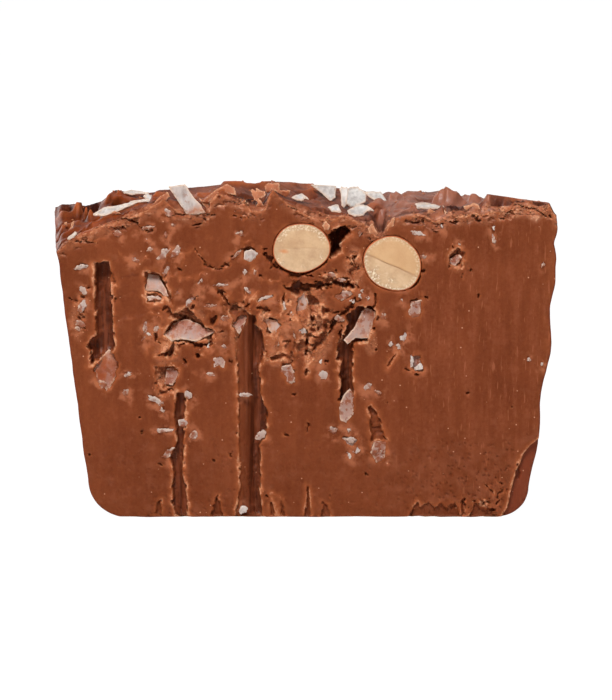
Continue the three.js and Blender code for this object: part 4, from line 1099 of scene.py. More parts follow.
# %% [markdown]
# ## Marks that the finish reads
# A finish can only paint what it is told. The finished mesh is asked, point by point, what kind of
# surface it is, and the ten answers are kept on it as attributes, each under the name by which the
# finish reads it. They travel with the mesh, unlike a picture laid over it.


# %% Ask every point
def mark(mesh, name, values):
    """Keeps one number for each point of a mesh under a name."""
    mesh.attributes.new(name, "FLOAT", "POINT").data.foreach_set("value", values.astype(np.float32))


def points_of(mesh):
    flat = np.empty(len(mesh.vertices) * 3, np.float32)
    mesh.vertices.foreach_get("co", flat)
    return flat.reshape(-1, 3).astype(float).T / MM


def normals_of(mesh):
    flat = np.empty(len(mesh.vertices) * 3, np.float32)
    mesh.vertices.foreach_get("normal", flat)
    return flat.reshape(-1, 3).astype(float).T


x, y, z = points_of(fudge.data)
nx, _, nz = normals_of(fudge.data)
back = np.clip((y - FRONT) / DEPTH, 0, 1)
deep, lip, haze, crumb, scraped, chipped, rimmed = front_field(x, z)
on_front = (y - FRONT < deep + 0.7) & (y < 0)
# how deep in a hollow each point lies, by which the finish paints shade in the hollows
hollow = ease(y - FRONT, 0.35, 2.6) * on_front
deep_back, lip_back, crumb_back = back_field(x, z)
on_back = (-FRONT - y < deep_back + 0.7) & (y > 0)
hollow = np.where(on_back, ease(-FRONT - y, 0.35, 2.2), hollow)
lip = np.where(on_front, lip, np.where(on_back, lip_back, 0))
crumb = np.where(on_front, crumb, np.where(on_back, crumb_back, 0))
haze = np.where(on_front, haze, 0)
chipped, rimmed = np.where(on_front, chipped, 0), np.where(on_front | (z > crest(x, back) - 2), rimmed, 0)
top = crest(x, back)
above = z - top
inner = np.minimum(y - FRONT - deep, -FRONT - y - deep_back)
left_wall, right_wall = wall("left", z, back), wall("right", z, back)
inner = np.minimum(inner, 2 * np.minimum(x - left_wall, right_wall - x))
topping = np.maximum(ease(nz, 0.15, 0.55), ease(inner, 0.9, 1.6)) * ease(above, -4.5, -2.0)
ridge = ease(topping_rise(x, y), 0.3, 1.9)
# painted shade: the pits between the swirls, a gutter just behind the front rim and two strips at the left
# end, where the far walls lie in shadow, are marked to be painted nearly black
pit = ease(topping_rise(x, y), -0.4, -2.4)
strength = np.interp(x, *np.array(TORN_RIM).T)
patch = ease(swell(x, y, 1.6, 175, 3), -0.05, 0.15)
pit = np.maximum(pit, (0.3 + 0.7 * strength) * ease(y - FRONT, 0.7, 1.1) * ease(y - FRONT, 3.2, 1.7) * patch)
pit = np.maximum(pit, 0.9 * ease(np.abs(x + 42.2 + 0.3 * swell(y, z, 2, 179)), 1.7, 1.3) * ease(y, 0.5, 2.5))
pit = np.maximum(pit, 0.5 * ease(np.abs(x + 46.0), 1.6, 1.0) * ease(y, 1.5, 3.5))
on_rim = (0.4 + 0.6 * strength) * ease(y - FRONT + 0.5 * swell(x, y, 0.9, 176, 2), 1.2, 0.7)
walled = np.maximum(ease(x - left_wall, 0.5, 0.1), ease(right_wall - x, 0.5, 0.1)) * (np.abs(nx) > 0.55)
for name, values in (
    ("hollow", hollow), ("lip", lip * (1 - topping)), ("haze", haze), ("crumb", crumb),
    ("topping", topping), ("scraped", np.where(on_front, scraped, 0)),
    ("walled", np.maximum(walled, chipped)), ("rimmed", rimmed * (1 - topping) + on_rim * topping),
    ("ridge", ridge * topping), ("pit", pit * topping),
):
    mark(fudge.data, name, values)
fudge.data.polygons.foreach_set("use_smooth", np.ones(len(fudge.data.polygons), bool))
print("marks kept:", [a.name for a in fudge.data.attributes if not a.name.startswith(".")][-10:])

# %% [markdown]
# ## The finish of chocolate fudge
# Set fudge is a warm milk-chocolate brown, a little shiny where the knife or the tin smoothed it and dull
# where it tore. Light gets a short way into it, so thin torn lips glow orange. The glow is real
# scattering under the surface, helped by a lighter colour on the lips.

# %% Fudge
FUDGE_FIXED = {
    "Subsurface Weight": 0.22,
    "Subsurface Radius": (1.0, 0.42, 0.22),
    "Subsurface Scale": 0.0011,
    "IOR": 1.46,
    "Specular IOR Level": 0.13,
    "Coat Roughness": 0.28,
}

fudge_material, pen, place = start_finish("chocolate_fudge")
hollow, lip, haze, crumb = (read(pen, name) for name in ("hollow", "lip", "haze", "crumb"))
topping, scraped, walled = (read(pen, name) for name in ("topping", "scraped", "walled"))
ridge, pit, rimmed = read(pen, "ridge"), read(pen, "pit"), read(pen, "rimmed")
along_slice = pen.node("ShaderNodeSeparateXYZ", None, {0: place})
cloud = speckle(pen, place, 9.0, 2.0)
grain = speckle(pen, place, 0.55, 3.0, 0.6)
dust = speckle(pen, place, 0.16, 2.0, 0.6)
streak = speckle(pen, place, 1.6, 3.0, 0.6, (1, 1, 0.12))
scratch = speckle(pen, place, 0.5, 2.0, 0.5, (1, 1, 0.16))
mottle = speckle(pen, place, 2.4, 3.0, 0.6)

tone = (cloud * 0.3 + streak * 0.25 + grain * 0.25 + dust * 0.2).between(0.38, 0.62)
colour = tone.blend(paint(105, 47, 19), paint(127, 63, 32))
colour = (mottle.between(0.56, 0.72) * 0.35).blend(colour, paint(144, 80, 53))
right_part = along_slice.between(0.014, 0.026)
drawn = streak.between(0.45, 0.6) * right_part * grain.between(0.3, 0.7) * 0.5
colour = drawn.blend(colour, paint(134, 71, 44))
colour = (scratch.between(0.62, 0.7) * (right_part * 0.4 + 0.1)).blend(colour, paint(160, 92, 60))
colour = (scraped * mottle.between(0.4, 0.6) * 0.35).blend(colour, paint(138, 78, 52))
colour = (haze * mottle.between(0.42, 0.56)).limited().blend(colour, paint(166, 98, 66))
colour = (crumb * 1.1 * grain).limited().blend(colour, paint(180, 112, 78))
# partly painted glow: the lips are torn fudge a little paler than the face, and their lighter orange also
# stands in for light scattered through the thin edges
colour = (lip * (0.4 + mottle * 0.8)).limited().blend(colour, paint(176, 96, 54))
# painted highlight: a pale line along the torn edges, where light catches them
lip_highlight = (lip.between(0.5, 0.9) * (0.25 + grain.between(0.42, 0.58) * 0.6)).limited()
colour = lip_highlight.blend(colour, paint(218, 156, 118))
# painted shade: the deeper a point lies in a hollow, the more its colour goes to this dark brown
groove = speckle(pen, place, 0.9, 3.0, 0.6, (1, 1, 0.08))
hollow_shade = groove.between(0.4, 0.6).blend(paint(72, 30, 15), paint(120, 60, 36))
colour = (hollow * (1 - crumb * 0.5) * 0.8).blend(colour, hollow_shade)
east = along_slice.between(-0.031, -0.022)
top_tone = (mottle * 0.5 + cloud * 0.5).between(0.38, 0.62)
# painted sheen: from about 8 mm right of the middle the topping is glossier and its colours turn greyer
# mauve, standing in for the sheen of the lights on it
gloss_and_painted_sheen = along_slice.between(0.008, 0.018)
# painted light: past about 33 mm the topping and the torn rim are painted lighter and more orange, to lift
# the shade that the top casts on that arch
arch = along_slice.between(0.033, 0.038)
left_dark = east.blend(paint(64, 22, 8), paint(88, 39, 22))
left_light = east.blend(paint(134, 58, 20), paint(138, 74, 48))
top_dark = gloss_and_painted_sheen.blend(left_dark, arch.blend(paint(104, 58, 45), paint(118, 56, 32)))
top_light = gloss_and_painted_sheen.blend(left_light, arch.blend(paint(156, 100, 80), paint(182, 106, 70)))
top_colour = top_tone.blend(top_dark, top_light)
ridge_tone = gloss_and_painted_sheen.blend(paint(182, 94, 47), paint(174, 106, 78))
top_colour = (ridge * (0.75 - gloss_and_painted_sheen * 0.35)).blend(top_colour, ridge_tone)
# painted shade: nearly black in the pits of the topping and behind its front rim
top_colour = (pit * 0.85).blend(top_colour, paint(46, 14, 8))
colour = topping.blend(colour, top_colour)
plates = speckle(pen, place, 1.5, 4.0, 0.65, (1, 1, 1.7))
patches = speckle(pen, place, 1.9, 2.0)
rim_tone = plates.between(0.42, 0.6).blend(paint(146, 80, 50), paint(190, 122, 90))
rim_tone = arch.blend(rim_tone, plates.between(0.42, 0.6).blend(paint(170, 100, 68), paint(210, 146, 112)))
colour = (rimmed * (0.3 + plates * 0.9)).limited().blend(colour, rim_tone)
seam = 1 - pen.sum("ABSOLUTE", plates - 0.5, 0).between(0.006, 0.02)
seams = (seam * patches.between(0.48, 0.58) * (rimmed + crumb * 0.5)).limited()
colour = (seams * 0.85).blend(colour, paint(58, 22, 10))
flecks = (plates.between(0.6, 0.66) * grain.between(0.45, 0.55) * rimmed).limited()
colour = (flecks * 0.8).blend(colour, paint(230, 184, 150))
colour = (walled * 0.6).blend(colour, paint(124, 56, 34))

# painted shade: tiny pores are painted dark as well as dented, for the shade inside them
pores = 1 - seeds(pen, place, 1.5).between(0.05, 0.16)
pores = pores * speckle(pen, place, 4.0, 2.0).between(0.5, 0.62) * (1 - topping)
colour = (pores * (0.3 + scraped * 0.5)).limited().blend(colour, paint(74, 32, 18))

# partly painted highlight: tiny pale crumbs over the face, painted bright as glints of light
sparks = (1 - seeds(pen, place, 0.42).between(0.03, 0.07)) * (1 - topping)
colour = (sparks * 0.8).blend(colour, paint(216, 160, 124))

rough = 0.46 + grain * 0.12 + crumb * 0.15 + lip * 0.08 + hollow * 0.05 + scraped * 0.08 + pit * 0.2
rough = rough - topping * gloss_and_painted_sheen * 0.1
height = grain * 0.45 + dust * 0.22 + mottle * 0.5 + streak * 0.25 + scratch * 0.3
height = height - pores * (0.5 + scraped) + crumb * grain - seams * 1.6 + rimmed * plates
coat = topping * (1 - pit) * (east * 0.05 + gloss_and_painted_sheen * 0.12) + hollow * 0.1
end_finish(pen, colour, rough, height, 0.12, {**FUDGE_FIXED, "Coat Weight": coat})
fudge.data.materials.clear()
fudge.data.materials.append(fudge_material)
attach(fudge, "root")
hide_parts("fudge_slab")
print("finish", fudge_material.name, "has", len(fudge_material.node_tree.nodes), "nodes")

# %% [markdown]
# ## Coconut flakes
# Dried coconut is white and waxy, and lets light through. Flakes that lay in the fudge took up cocoa
# butter and brown crumbs, so each has a stain that runs from its top to its foot.

# %% Finish of coconut
COCONUT_FIXED = {
    "Subsurface Weight": 0.45,
    "Subsurface Radius": (1.0, 0.9, 0.8),
    "Subsurface Scale": 0.0010,
    "IOR": 1.45,
    "Specular IOR Level": 0.3,
}
coconut_material, pen, place = start_finish("coconut_flesh")
stain, edge, sunk, warm = (read(pen, name) for name in ("stain", "edge", "sunk", "warm"))
cloud = speckle(pen, place, 2.0, 2.0)
grain = speckle(pen, place, 0.3, 3.0, 0.6)
fibre = speckle(pen, place, 0.6, 2.0, 0.5, (1, 1, 0.25))
smear = speckle(pen, place, 1.1, 3.0, 0.65)
colour = (cloud * 0.5 + fibre * 0.5).between(0.38, 0.62).blend(paint(176, 169, 165), paint(218, 213, 208))
warmth = (warm * (cloud * 0.6 + fibre * 0.4).between(0.3, 0.62) * 1.1).limited()
colour = warmth.blend(colour, paint(184, 114, 72))
colour = (sunk * (0.3 + cloud * 0.8)).limited().blend(colour, paint(134, 92, 74))
colour = (stain * (0.5 + cloud * 0.9)).limited().blend(colour, paint(142, 64, 26))
# painted highlight: the thin edges of each flake are painted pale cream, for light catching and shining
# through them
colour = (edge * (0.3 + grain * 0.8)).limited().blend(colour, paint(228, 194, 168))
veil = (smear + sunk * 0.1 + stain * 0.06).between(0.6, 0.65)
colour = (veil * (sunk + stain).limited() * 0.9).limited().blend(colour, paint(138, 72, 42))
glint = (smear + fibre * 0.3).between(0.5, 0.46) * sunk * grain.between(0.45, 0.55)
colour = (glint * 0.7).limited().blend(colour, paint(226, 212, 204))
rough = 0.38 + grain * 0.15
height = cloud * 0.5 + grain * 0.5 + fibre * 0.6 + smear * 0.8
end_finish(pen, colour, rough, height, 0.1, COCONUT_FIXED)


# %% Cut a flake from its outline
def cut_flake(bm, middle, lean, curl, outline, thickness, seed, spacing=0.42, ragged=0.1):
    """Adds one thin curled flake to a bmesh and returns its points and where each lies on it."""
    cx, cy, cz = middle
    flake = bm.faces.new([bm.verts.new((cx + dx, cy + lean * dz, cz + dz)) for dx, dz in outline])
    bmesh.ops.subdivide_edges(bm, edges=flake.edges[:], cuts=3)
    mine = list(flake.verts)
    for v in mine:
        place = v.co * 1.9 + Vector((seed, 0, 0))
        wobble = noise.noise_vector(place) + 0.6 * noise.noise_vector(place * 2.7)
        v.co += Vector((wobble.x, 0, wobble.z)) * 1.6 * ragged
        v.co.y = cy + lean * (v.co.z - cz)
    low = Vector([min(v.co[k] for v in mine) for k in range(3)])
    high = Vector([max(v.co[k] for v in mine) for k in range(3)])
    faces = [flake]
    for k in (0, 2):
        steps = max(2, int((high[k] - low[k]) / spacing))
        for i in range(1, steps):
            at, facing = [0, 0, 0], [0, 0, 0]
            at[k], facing[k] = low[k] + (high[k] - low[k]) * i / steps, 1
            edges = dict.fromkeys(e for f in faces for e in f.edges)
            corners = dict.fromkeys(v for f in faces for v in f.verts)
            geometry = [*faces, *edges, *corners]
            cut = bmesh.ops.bisect_plane(bm, geom=geometry, plane_co=at, plane_no=facing, dist=0.01)
            faces = [g for g in cut["geom"] if isinstance(g, bmesh.types.BMFace)]
    front = dict.fromkeys(v for f in faces for v in f.verts)
    for v in front:
        a, b = (v.co.x - cx) / (high.x - low.x) * 2, (v.co.z - cz) / (high.z - low.z) * 2
        crease = abs(noise.noise(v.co * 0.7 + Vector((0, seed, 0))))
        v.co.y -= curl * (0.6 * a * a + 0.5 * b * b - 0.25) + 0.35 * crease + 0.08 * noise.noise(v.co * 2.2)
    region = bmesh.ops.extrude_face_region(bm, geom=faces, use_keep_orig=True)["geom"]
    rear = [g for g in region if isinstance(g, bmesh.types.BMVert)]
    push = Vector((0, 1, -lean)).normalized() * thickness
    bmesh.ops.translate(bm, vec=push, verts=rear)
    points = list(dict.fromkeys([*front, *rear]))
    bmesh.ops.smooth_vert(bm, verts=points, factor=0.12, use_axis_x=True, use_axis_y=True, use_axis_z=True)
    x, z = np.array([v.co.x for v in points]), np.array([v.co.z for v in points])
    height = np.clip((z - low.z) / (high.z - low.z), 0, 1)
    return points, inside(x, z, [(cx + dx, cz + dz) for dx, dz in outline]), height


def finish_piece(name, bm, material, smooth=True):
    """Turns a bmesh in millimetres into a piece in metres that rides with the slice."""
    bmesh.ops.recalc_face_normals(bm, faces=bm.faces[:])
    bmesh.ops.scale(bm, vec=(MM, MM, MM), verts=bm.verts[:])
    mesh = bpy.data.meshes.new(name)
    bm.to_mesh(mesh)
    bm.free()
    mesh.polygons.foreach_set("use_smooth", np.full(len(mesh.polygons), smooth))
    mesh.materials.append(material)
    piece = bpy.data.objects.new(name, mesh)
    bpy.context.scene.collection.objects.link(piece)
    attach(piece, "root")
    return piece


def start_piece(*names):
    """A new bmesh with room for a number under each name on every point."""
    bm = bmesh.new()
    return bm, [bm.verts.layers.float.new(name) for name in names]


# %% Lay the flakes
for number, (name, (middle, lean, curl, stain, outline)) in enumerate({**TOP_FLAKES, **FACE_FLAKES}.items()):
    bm, (stain_of, edge_of, sunk_of, warm_of) = start_piece("stain", "edge", "sunk", "warm")
    points, away, height = cut_flake(bm, middle, lean, curl, outline, 0.36, number * 7.3)
    plain = (90, 0.3, (0.7, 0.7)) if name in FACE_FLAKES else (90, 0.0, (0.0, 0.0))
    heading, warm, glassy = FLAKE_LOOKS.get(name, plain)
    along = np.array([v.co.x * cos(radians(heading)) + v.co.z * sin(radians(heading)) for v in points])
    share = (along - along.min()) / (along.max() - along.min())
    browns, glasses = np.interp(share, [0, 0.5, 1], stain[::-1]), np.interp(height, [0, 1], glassy)
    looks = zip(points, ease(away, 0.3, 0.0), browns, glasses)
    foot = np.ones(len(points)) if name in FACE_FLAKES else ease(share, 0.34, 0.2)
    for (v, rim, brown, glass), near_foot in zip(looks, foot):
        v[stain_of], v[edge_of], v[sunk_of], v[warm_of] = brown, rim, glass, warm * near_foot
    piece = finish_piece("coconut_" + name, bm, coconut_material)
    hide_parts("flake_" + name)
print("flakes laid:", len(TOP_FLAKES) + len(FACE_FLAKES), "the last has", len(piece.data.polygons), "faces")

# %% Press in the small bits
BACK_BITS = 30


def chance_outline(dice, long_side, wide_side, heading):
    """Nine uneven corners round an oval."""
    c, s = cos(radians(heading)), sin(radians(heading))
    corners = []
    for step in range(9):
        at = 2 * pi * (step + dice.uniform(-0.35, 0.35)) / 9
        reach = dice.uniform(0.7, 1.15)
        a, b = cos(at) * long_side / 2 * reach, sin(at) * (wide_side + 0.25) / 2 * reach
        corners.append((a * c - b * s, a * s + b * c))
    return corners


bm, (stain_of, edge_of, sunk_of, warm_of) = start_piece("stain", "edge", "sunk", "warm")
bit_dice = np.random.default_rng(31)
for number, (px, pz, long_side, wide_side, heading, brown) in enumerate(BITS):
    corners = chance_outline(bit_dice, long_side, wide_side, heading)
    lean, half_high = bit_dice.uniform(0.0, 0.4), max(b for a, b in corners)
    middle = (px, FRONT - 0.04 + 0.6 * lean * half_high, pz)
    points, away, height = cut_flake(bm, middle, lean, 0.1, corners, 0.25, number * 3.1, 0.32, 0.2)
    if brown < 0.15:
        deepness = bit_dice.uniform(0.1, 0.35)
    else:
        deepness = bit_dice.uniform(0.35, 0.75) + (0.55 if brown > 0.35 else 0)
    for v, rim, share in zip(points, ease(away, 0.25, 0.0), height):
        v[stain_of], v[edge_of], v[warm_of] = 0.9 * brown * (1 - share), 0.6 * rim, 0.9 * brown
        v[sunk_of] = deepness * (1.3 - 0.7 * share)
for number in range(BACK_BITS):
    px, pz = bit_dice.uniform(-38, 40), bit_dice.uniform(14, 54)
    long_side, wide_side = bit_dice.uniform(1.4, 4.4), bit_dice.uniform(0.8, 1.7)
    corners = chance_outline(bit_dice, long_side, wide_side, bit_dice.uniform(0, 180))
    middle = (px, -FRONT - 0.05, pz)
    points, away, height = cut_flake(bm, middle, 0.0, 0.1, corners, 0.3, 300 + number * 3.1, 0.32, 0.2)
    brown = bit_dice.uniform(0.0, 0.5)
    for v, rim, share in zip(points, ease(away, 0.25, 0.0), height):
        v[stain_of], v[edge_of] = brown * (1 - share), 0.5 * rim
        v[warm_of], v[sunk_of] = brown, 0.8 - 0.5 * share
bits = finish_piece("coconut_bits", bm, coconut_material)
print("small bits have", len(bits.data.polygons), "faces")

# %% [markdown]
# ## Almonds
# Two roasted almonds were cut through with the slice. A ball squeezed to the nut's size is half buried,
# and its front half is pressed flat onto the cut, so its rings of faces become rings on the cut face.
# The brown skin shows only as a thin line round the edge, and the split between the two halves of the
# kernel as a shallow groove.

# %% Finish of almond
ALMOND_FIXED = {
    "Subsurface Weight": 0.35,
    "Subsurface Radius": (1.0, 0.75, 0.5),
    "Subsurface Scale": 0.0011,
    "IOR": 1.46,
    "Specular IOR Level": 0.3,
}
ALMOND_MARKS = ("skin", "groove", "upper", "torn", "toasted")
almond_material, pen, place = start_finish("roasted_almond")
skin, groove, upper, torn, toasted = (read(pen, name) for name in ALMOND_MARKS)
cloud = speckle(pen, place, 2.6, 2.0)
grain = speckle(pen, place, 0.42, 3.0, 0.6)
colour = (cloud * 0.7 + grain * 0.3).between(0.36, 0.64).blend(paint(186, 150, 115), paint(208, 175, 139))
colour = (upper * 0.6).blend(colour, paint(204, 158, 110))
colour = (torn * 0.55).blend(colour, paint(184, 154, 122))
colour = (torn * grain.between(0.5, 0.6)).blend(colour, paint(238, 222, 196))
colour = toasted.blend(colour, paint(206, 134, 82))
# painted shade: a darker line along the split between the kernel's halves, for the shade in its shallow
# groove
colour = (groove * 0.5).blend(colour, paint(168, 122, 82))
colour = skin.blend(colour, paint(178, 84, 40))
end_finish(pen, colour, 0.5 + grain * 0.15, cloud * 0.5 + grain * 0.6 + torn * grain * 1.4, 0.1, ALMOND_FIXED)

# %% Press the two almonds
fineness = 1
for name, ((cx, cz), _, _, (offset, slope, depth)) in ALMONDS.items():
    bm = bmesh.new()
    bmesh.ops.create_uvsphere(bm, u_segments=128 // fineness, v_segments=84 // fineness, radius=1)
    bmesh.ops.rotate(bm, cent=(0, 0, 0), matrix=Matrix.Rotation(pi / 2, 3, "X"), verts=bm.verts[:])
    bmesh.ops.remove_doubles(bm, verts=bm.verts[:], dist=0.0001)
    mesh = bpy.data.meshes.new(name)
    bm.to_mesh(mesh)
    bm.free()
    a, behind, b = points_of(mesh) * MM
    flat = np.hypot(a, b) + 1e-9
    spread = np.where(behind < 0, np.arccos(np.clip(-behind, 0, 1)) / (pi / 2), flat)
    reach = almond_reach(np.degrees(np.arctan2(b, a)), name) * spread / flat
    x, z, y = cx + a * reach, cz + b * reach, FRONT + 0.05 + 5.0 * np.maximum(0, behind)
    on_cut = behind < 0.02

    share, heading = almond_share(x, z, name)
    line = (z - cz) - offset - slope * (x - cx) - 0.06 * np.sin((x - cx) * 1.3)
    groove = np.exp(-((line / 0.16) ** 2)) * ease(share, 0.97, 0.9) * depth
    speck = swell(x, z, 0.9, 202, 2)
    top_rim = ease(share + 0.05 * swell(x, z, 1.4, 201, 2), 0.7, 0.78) * ease(np.abs(heading - 90), 84, 60)
    low_rim = ease(share, 0.62, 0.8) * ease(speck, 0.1, 0.4) * ease(np.abs(heading + 90), 90, 60)
    ragged_part = ease(share, 0.35, 0.6) * ease(np.abs(heading + 125), 55, 30) * ease(speck, -0.2, 0.2)
    if name == "almond_left":
        torn = np.maximum(0.6 * top_rim, 0.8 * low_rim)
    else:
        torn = np.maximum(0.45 * ease(share, 0.78, 0.9), ragged_part)
    torn = torn * ease(share, 1.0, 0.955)
    stain_off = np.hypot((x - cx + 3.3) / 1.1, (z - cz + 0.6) / 0.6) + 0.3 * speck
    toasted = ease(stain_off, 1.1, 0.2) * (name == "almond_left") * 0.8
    own = cells(x, z, 0.55, 203)[2]
    relief = 0.12 * groove + 0.05 * swell(x, z, 1.6, 204, 2) + torn * (0.06 + 0.2 * (own - 0.5))
    relief = relief + 0.12 * depth * ease(line, 0.04, -0.04) + 0.05 * ease(share, 0.965, 1.0)
    y = y + np.where(on_cut, relief, 0)
    mesh.vertices.foreach_set("co", (np.stack([x, y, z], 1) * MM).astype(np.float32).ravel())
    skin = np.where(on_cut, ease(share + 0.006 * swell(x, z, 0.8, 205, 2), 0.955, 0.978), 1)
    values = (skin, groove, ease(line, -0.05, 0.1) * depth, torn, toasted)
    for title, value in zip(ALMOND_MARKS, values):
        mark(mesh, title, value)
    mesh.polygons.foreach_set("use_smooth", np.ones(len(mesh.polygons), bool))
    mesh.materials.append(almond_material)
    mesh.update()
    nut = bpy.data.objects.new("roasted_" + name, mesh)
    bpy.context.scene.collection.objects.link(nut)
    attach(nut, "root")
    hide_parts(name)
    print(nut.name, "has", len(mesh.polygons), "faces")

# %% [markdown]
# ## Torn leaves along the rim
# Where the knife broke through the set top, it left thin leaves and shards of fudge standing along the
# rim. They are made as the flakes are, but thicker, rougher and in the lighter brown of torn fudge.

# %% Leaves: middle, lean, how pale, outline
LEAVES = [
    ((-16, -12, 62.3), 0.5, 0.25, [
        (-3.3, -0.5), (-0.6, 1.6), (1.8, 2.7), (3, 2), (3.3, 0.7), (1.8, 0.9), (0.4, 1), (-1.5, -0.2),
        (-1.8, -1), (-1, -2.7), (-1.7, -2.6)]),
    ((-11, -13.4, 61.5), 0.2, 0.9, [(-0.8, 0.5), (0, 0.7), (0.8, 0), (0.3, -0.7)]),
    ((-8.5, -13.3, 62.4), 0.1, 0.6, [
        (-1.4, 1.7), (-1, 2), (-0.3, 1.6), (-0.2, 2.3), (0.4, 1.7), (1.4, 1.6), (1.4, 0.8), (0.2, 0),
        (1.4, -1.5), (0, -2.3), (-0.7, -2), (0, -0.7), (-1, 0.6)]),
    ((-4.7, -11.5, 63.9), 0.5, 0.35, [
        (-2.4, 1), (-1.4, 1.3), (0.3, 1.3), (0.5, 0), (2.4, 0), (2.4, -0.7), (1.6, -1.3), (-1, 0.2),
        (-1.8, -0.7), (-2.4, 0)]),
    ((-18.6, -13, 62), 0.3, 0.3, [(-1, 0.6), (0.3, 0), (1, 0.2), (0.8, -0.6), (-0.6, -0.2)]),
    ((4.5, -14.12, 57), 0.1, 0.9, [(-0.4, 1), (0, 1.3), (0.7, 0.4), (0, -1.3), (-0.7, 0.4)]),
    ((8.6, -13.7, 54.2), 0.1, 0.9, [
        (-1.6, -0.3), (0.3, 1.4), (0.9, 1.4), (1.6, -0.3), (1.2, -1.3), (-0.9, -1.3)]),
    ((13.4, -14.12, 56.4), 0.1, 1, [
        (-0.9, 0.6), (-0.2, 1.5), (0.3, 1), (0.9, -0.9), (0.2, -1.5), (-0.5, -0.8)]),
    ((16.7, -14.12, 57.6), 0.1, 0.9, [
        (-1, -0.8), (-0.2, 0.4), (0.6, 1.5), (1, 1.3), (0.4, -0.6), (-0.4, -1.5)]),
    ((25, -13.2, 59), 0.2, 0.5, [(-1.2, 1.4), (-0.3, 1.5), (1.2, 0), (0.4, -1.5), (-0.9, -0.4)]),
    ((28.6, -13.3, 59), 0.2, 0.9, [
        (-1.6, 1.3), (-0.7, 0.4), (0.4, 0.8), (1.4, 0.4), (1.6, -0.2), (-1, -1.3)]),
    ((32.4, -12.9, 60.4), 0.3, 0.9, [
        (-1.8, 0.6), (0, 1), (1.2, 0.9), (1.8, -0.9), (0, -0.5), (-0.5, -1), (-1.2, -0.7)]),
    ((-31.4, -13.4, 59.6), 0.3, 1, [(-1, -0.2), (0, 0), (0.5, 0.5), (1, 0.3), (0, -0.4)]),
    ((-35.6, -11.5, 59.5), 0.4, 0.2, [(-1, 0), (0, 0.4), (1, 0), (-0.4, -0.4)]),
    ((-37.4, -13.4, 57.2), 0.2, 0, [(-1, 0), (0, 0.3), (1, 0.2), (-0.3, -0.3)]),
    ((-27.2, -12.6, 62), 0.4, 0.2, [
        (-2, -1.3), (0, 0.7), (1.4, 1.6), (2, 1), (0.7, -0.4), (0.4, -1.3), (-1.8, -1.6)]),
    ((-44.8, -6.5, 56), 0.5, 0.2, [(-0.8, -1.2), (0.7, 1.2), (0.8, 0.5), (-0.3, -1.2)]),
    ((-45.7, -6.5, 56.4), 0.5, 0.8, [(-0.3, 0.4), (0.2, 0.4), (0.3, -0.4), (0, -0.4)]),
]

# %% Finish of torn fudge
torn_material, pen, place = start_finish("torn_fudge")
pale, tip, edge = (read(pen, name) for name in ("pale", "tip", "edge"))
cloud = speckle(pen, place, 1.6, 2.0)
grain = speckle(pen, place, 0.35, 3.0, 0.6)
colour = (cloud * 0.6 + grain * 0.4).between(0.36, 0.64).blend(paint(134, 66, 36), paint(168, 94, 60))
colour = (pale * (0.2 + cloud * 0.6 + grain * 0.3)).limited().blend(colour, paint(200, 134, 98))
colour = (tip * pale * 0.35).blend(colour, paint(218, 160, 124))
# partly painted glow: the thin edges of the leaves are paler torn fudge, painted lighter still for light
# scattered through them
colour = (edge * grain.between(0.35, 0.6) * 0.7).limited().blend(colour, paint(228, 180, 146))
end_finish(pen, colour, 0.5 + grain * 0.15, cloud * 0.6 + grain * 0.8, 0.12, FUDGE_FIXED)

# %% Stand the leaves along the rim
bm, (pale_of, tip_of, edge_of) = start_piece("pale", "tip", "edge")
leaf_dice = np.random.default_rng(77)
for number, (middle, lean, tone, outline) in enumerate(LEAVES):
    points, away, height = cut_flake(bm, middle, lean, 0.25, outline, 0.2, 50 + number * 2.7, 0.26, 0.17)
    pale = tone + leaf_dice.uniform(-0.1, 0.1)
    for v, rim, share in zip(points, ease(away, 0.3, 0.0), height):
        v.co.y += 0.9 * max(0, 0.4 - share) / 0.4
        v[pale_of], v[tip_of], v[edge_of] = pale * min(1, 0.35 + share), share**2, rim * min(1, share * 2.5)
leaves = finish_piece("torn_fudge_leaves", bm, torn_material)
print("torn leaves:", len(LEAVES), "with", len(leaves.data.polygons), "faces")

# %% [markdown]
# ## Crumbs
# Every cut through fudge sheds crumbs. Each is a coarse ball with its points pushed about, a few dozen
# faces at most, and they are strewn where the fudge tore: along the rim, in the hollows and in the
# crumbly patches. One joined mesh keeps hundreds of them light.

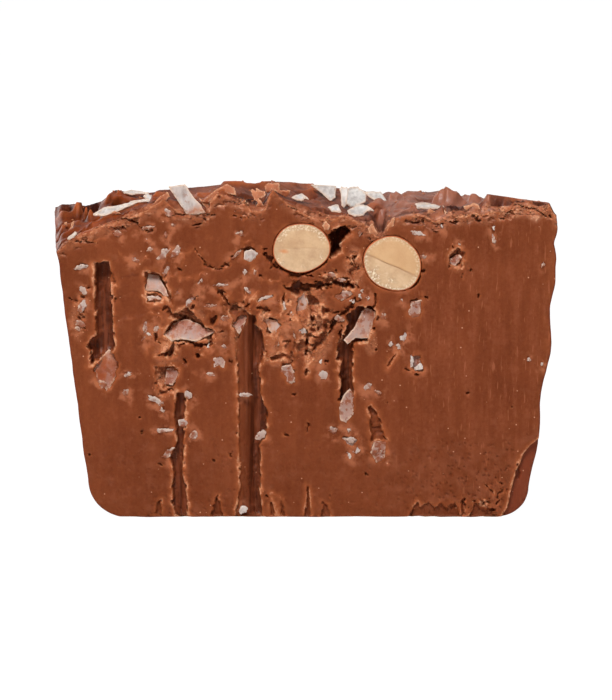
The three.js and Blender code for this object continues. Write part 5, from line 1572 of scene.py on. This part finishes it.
# %% Strew crumbs
crumb_dice = np.random.default_rng(19)
CRUMBS = 900
spots = []
while len(spots) < CRUMBS:
    kind = crumb_dice.uniform()
    if kind < 0.42:
        px = crumb_dice.uniform(-46.5, 47.4)
        on_rim = float(np.interp(px, *np.array(RIM_LINE).T))
        if crumb_dice.uniform() > np.interp(px, *np.array(TORN_RIM).T) or -25 < px < -18.2:
            continue
        behind, above = crumb_dice.uniform(-0.05, 1.6), crumb_dice.uniform(-1.0, 0.1)
        spots.append((px, FRONT + behind, on_rim + above, crumb_dice.uniform(0.07, 0.26)))
    elif kind < 0.9:
        px, pz, wide_half, high_half, strength = CRUMBLY[crumb_dice.integers(len(CRUMBLY))]
        qx, qz = px + crumb_dice.normal(0, 0.5) * wide_half, pz + crumb_dice.normal(0, 0.5) * high_half
        if qz < np.interp(qx, *np.array(FRONT_CREST).T) - 0.6 and abs(qx) < 44:
            deep = float(front_field(np.array([qx]), np.array([qz]))[0][0])
            if min(almond_share(np.array([qx]), np.array([qz]), n)[0][0] for n in ALMONDS) > 1.03:
                spots.append((qx, FRONT + min(deep, 2.2) + 0.05, qz, crumb_dice.uniform(0.06, 0.22)))
    else:
        px, py = crumb_dice.uniform(-46, 47), crumb_dice.uniform(-12, 13)
        top = crest(np.array([px]), np.array([(py - FRONT) / DEPTH]))
        base = top + swirled_rise(np.array([px]), np.array([py]), top)
        spots.append((px, py, float(base[0]) - 0.02, crumb_dice.uniform(0.12, 0.3)))
bm, (pale_of,) = start_piece("pale")
for number, (px, py, pz, size) in enumerate(spots):
    ball = bmesh.ops.create_icosphere(bm, subdivisions=1, radius=size)["verts"]
    squash = [crumb_dice.uniform(0.6, 1.2) for _ in range(3)]
    for v in ball:
        push = 1 + 0.7 * noise.noise(v.co / size * 1.1 + Vector((number * 1.7, 0, 0)))
        squashed = Vector((v.co.x * squash[0], v.co.y * squash[1], v.co.z * squash[2]))
        v.co = squashed * push + Vector((px, py, pz))
    pale = crumb_dice.uniform(0.2, 1.0)
    for v in ball:
        v[pale_of] = pale
crumbs = finish_piece("fudge_crumbs", bm, torn_material, smooth=False)
print("crumbs:", CRUMBS, "with", len(crumbs.data.polygons), "faces")
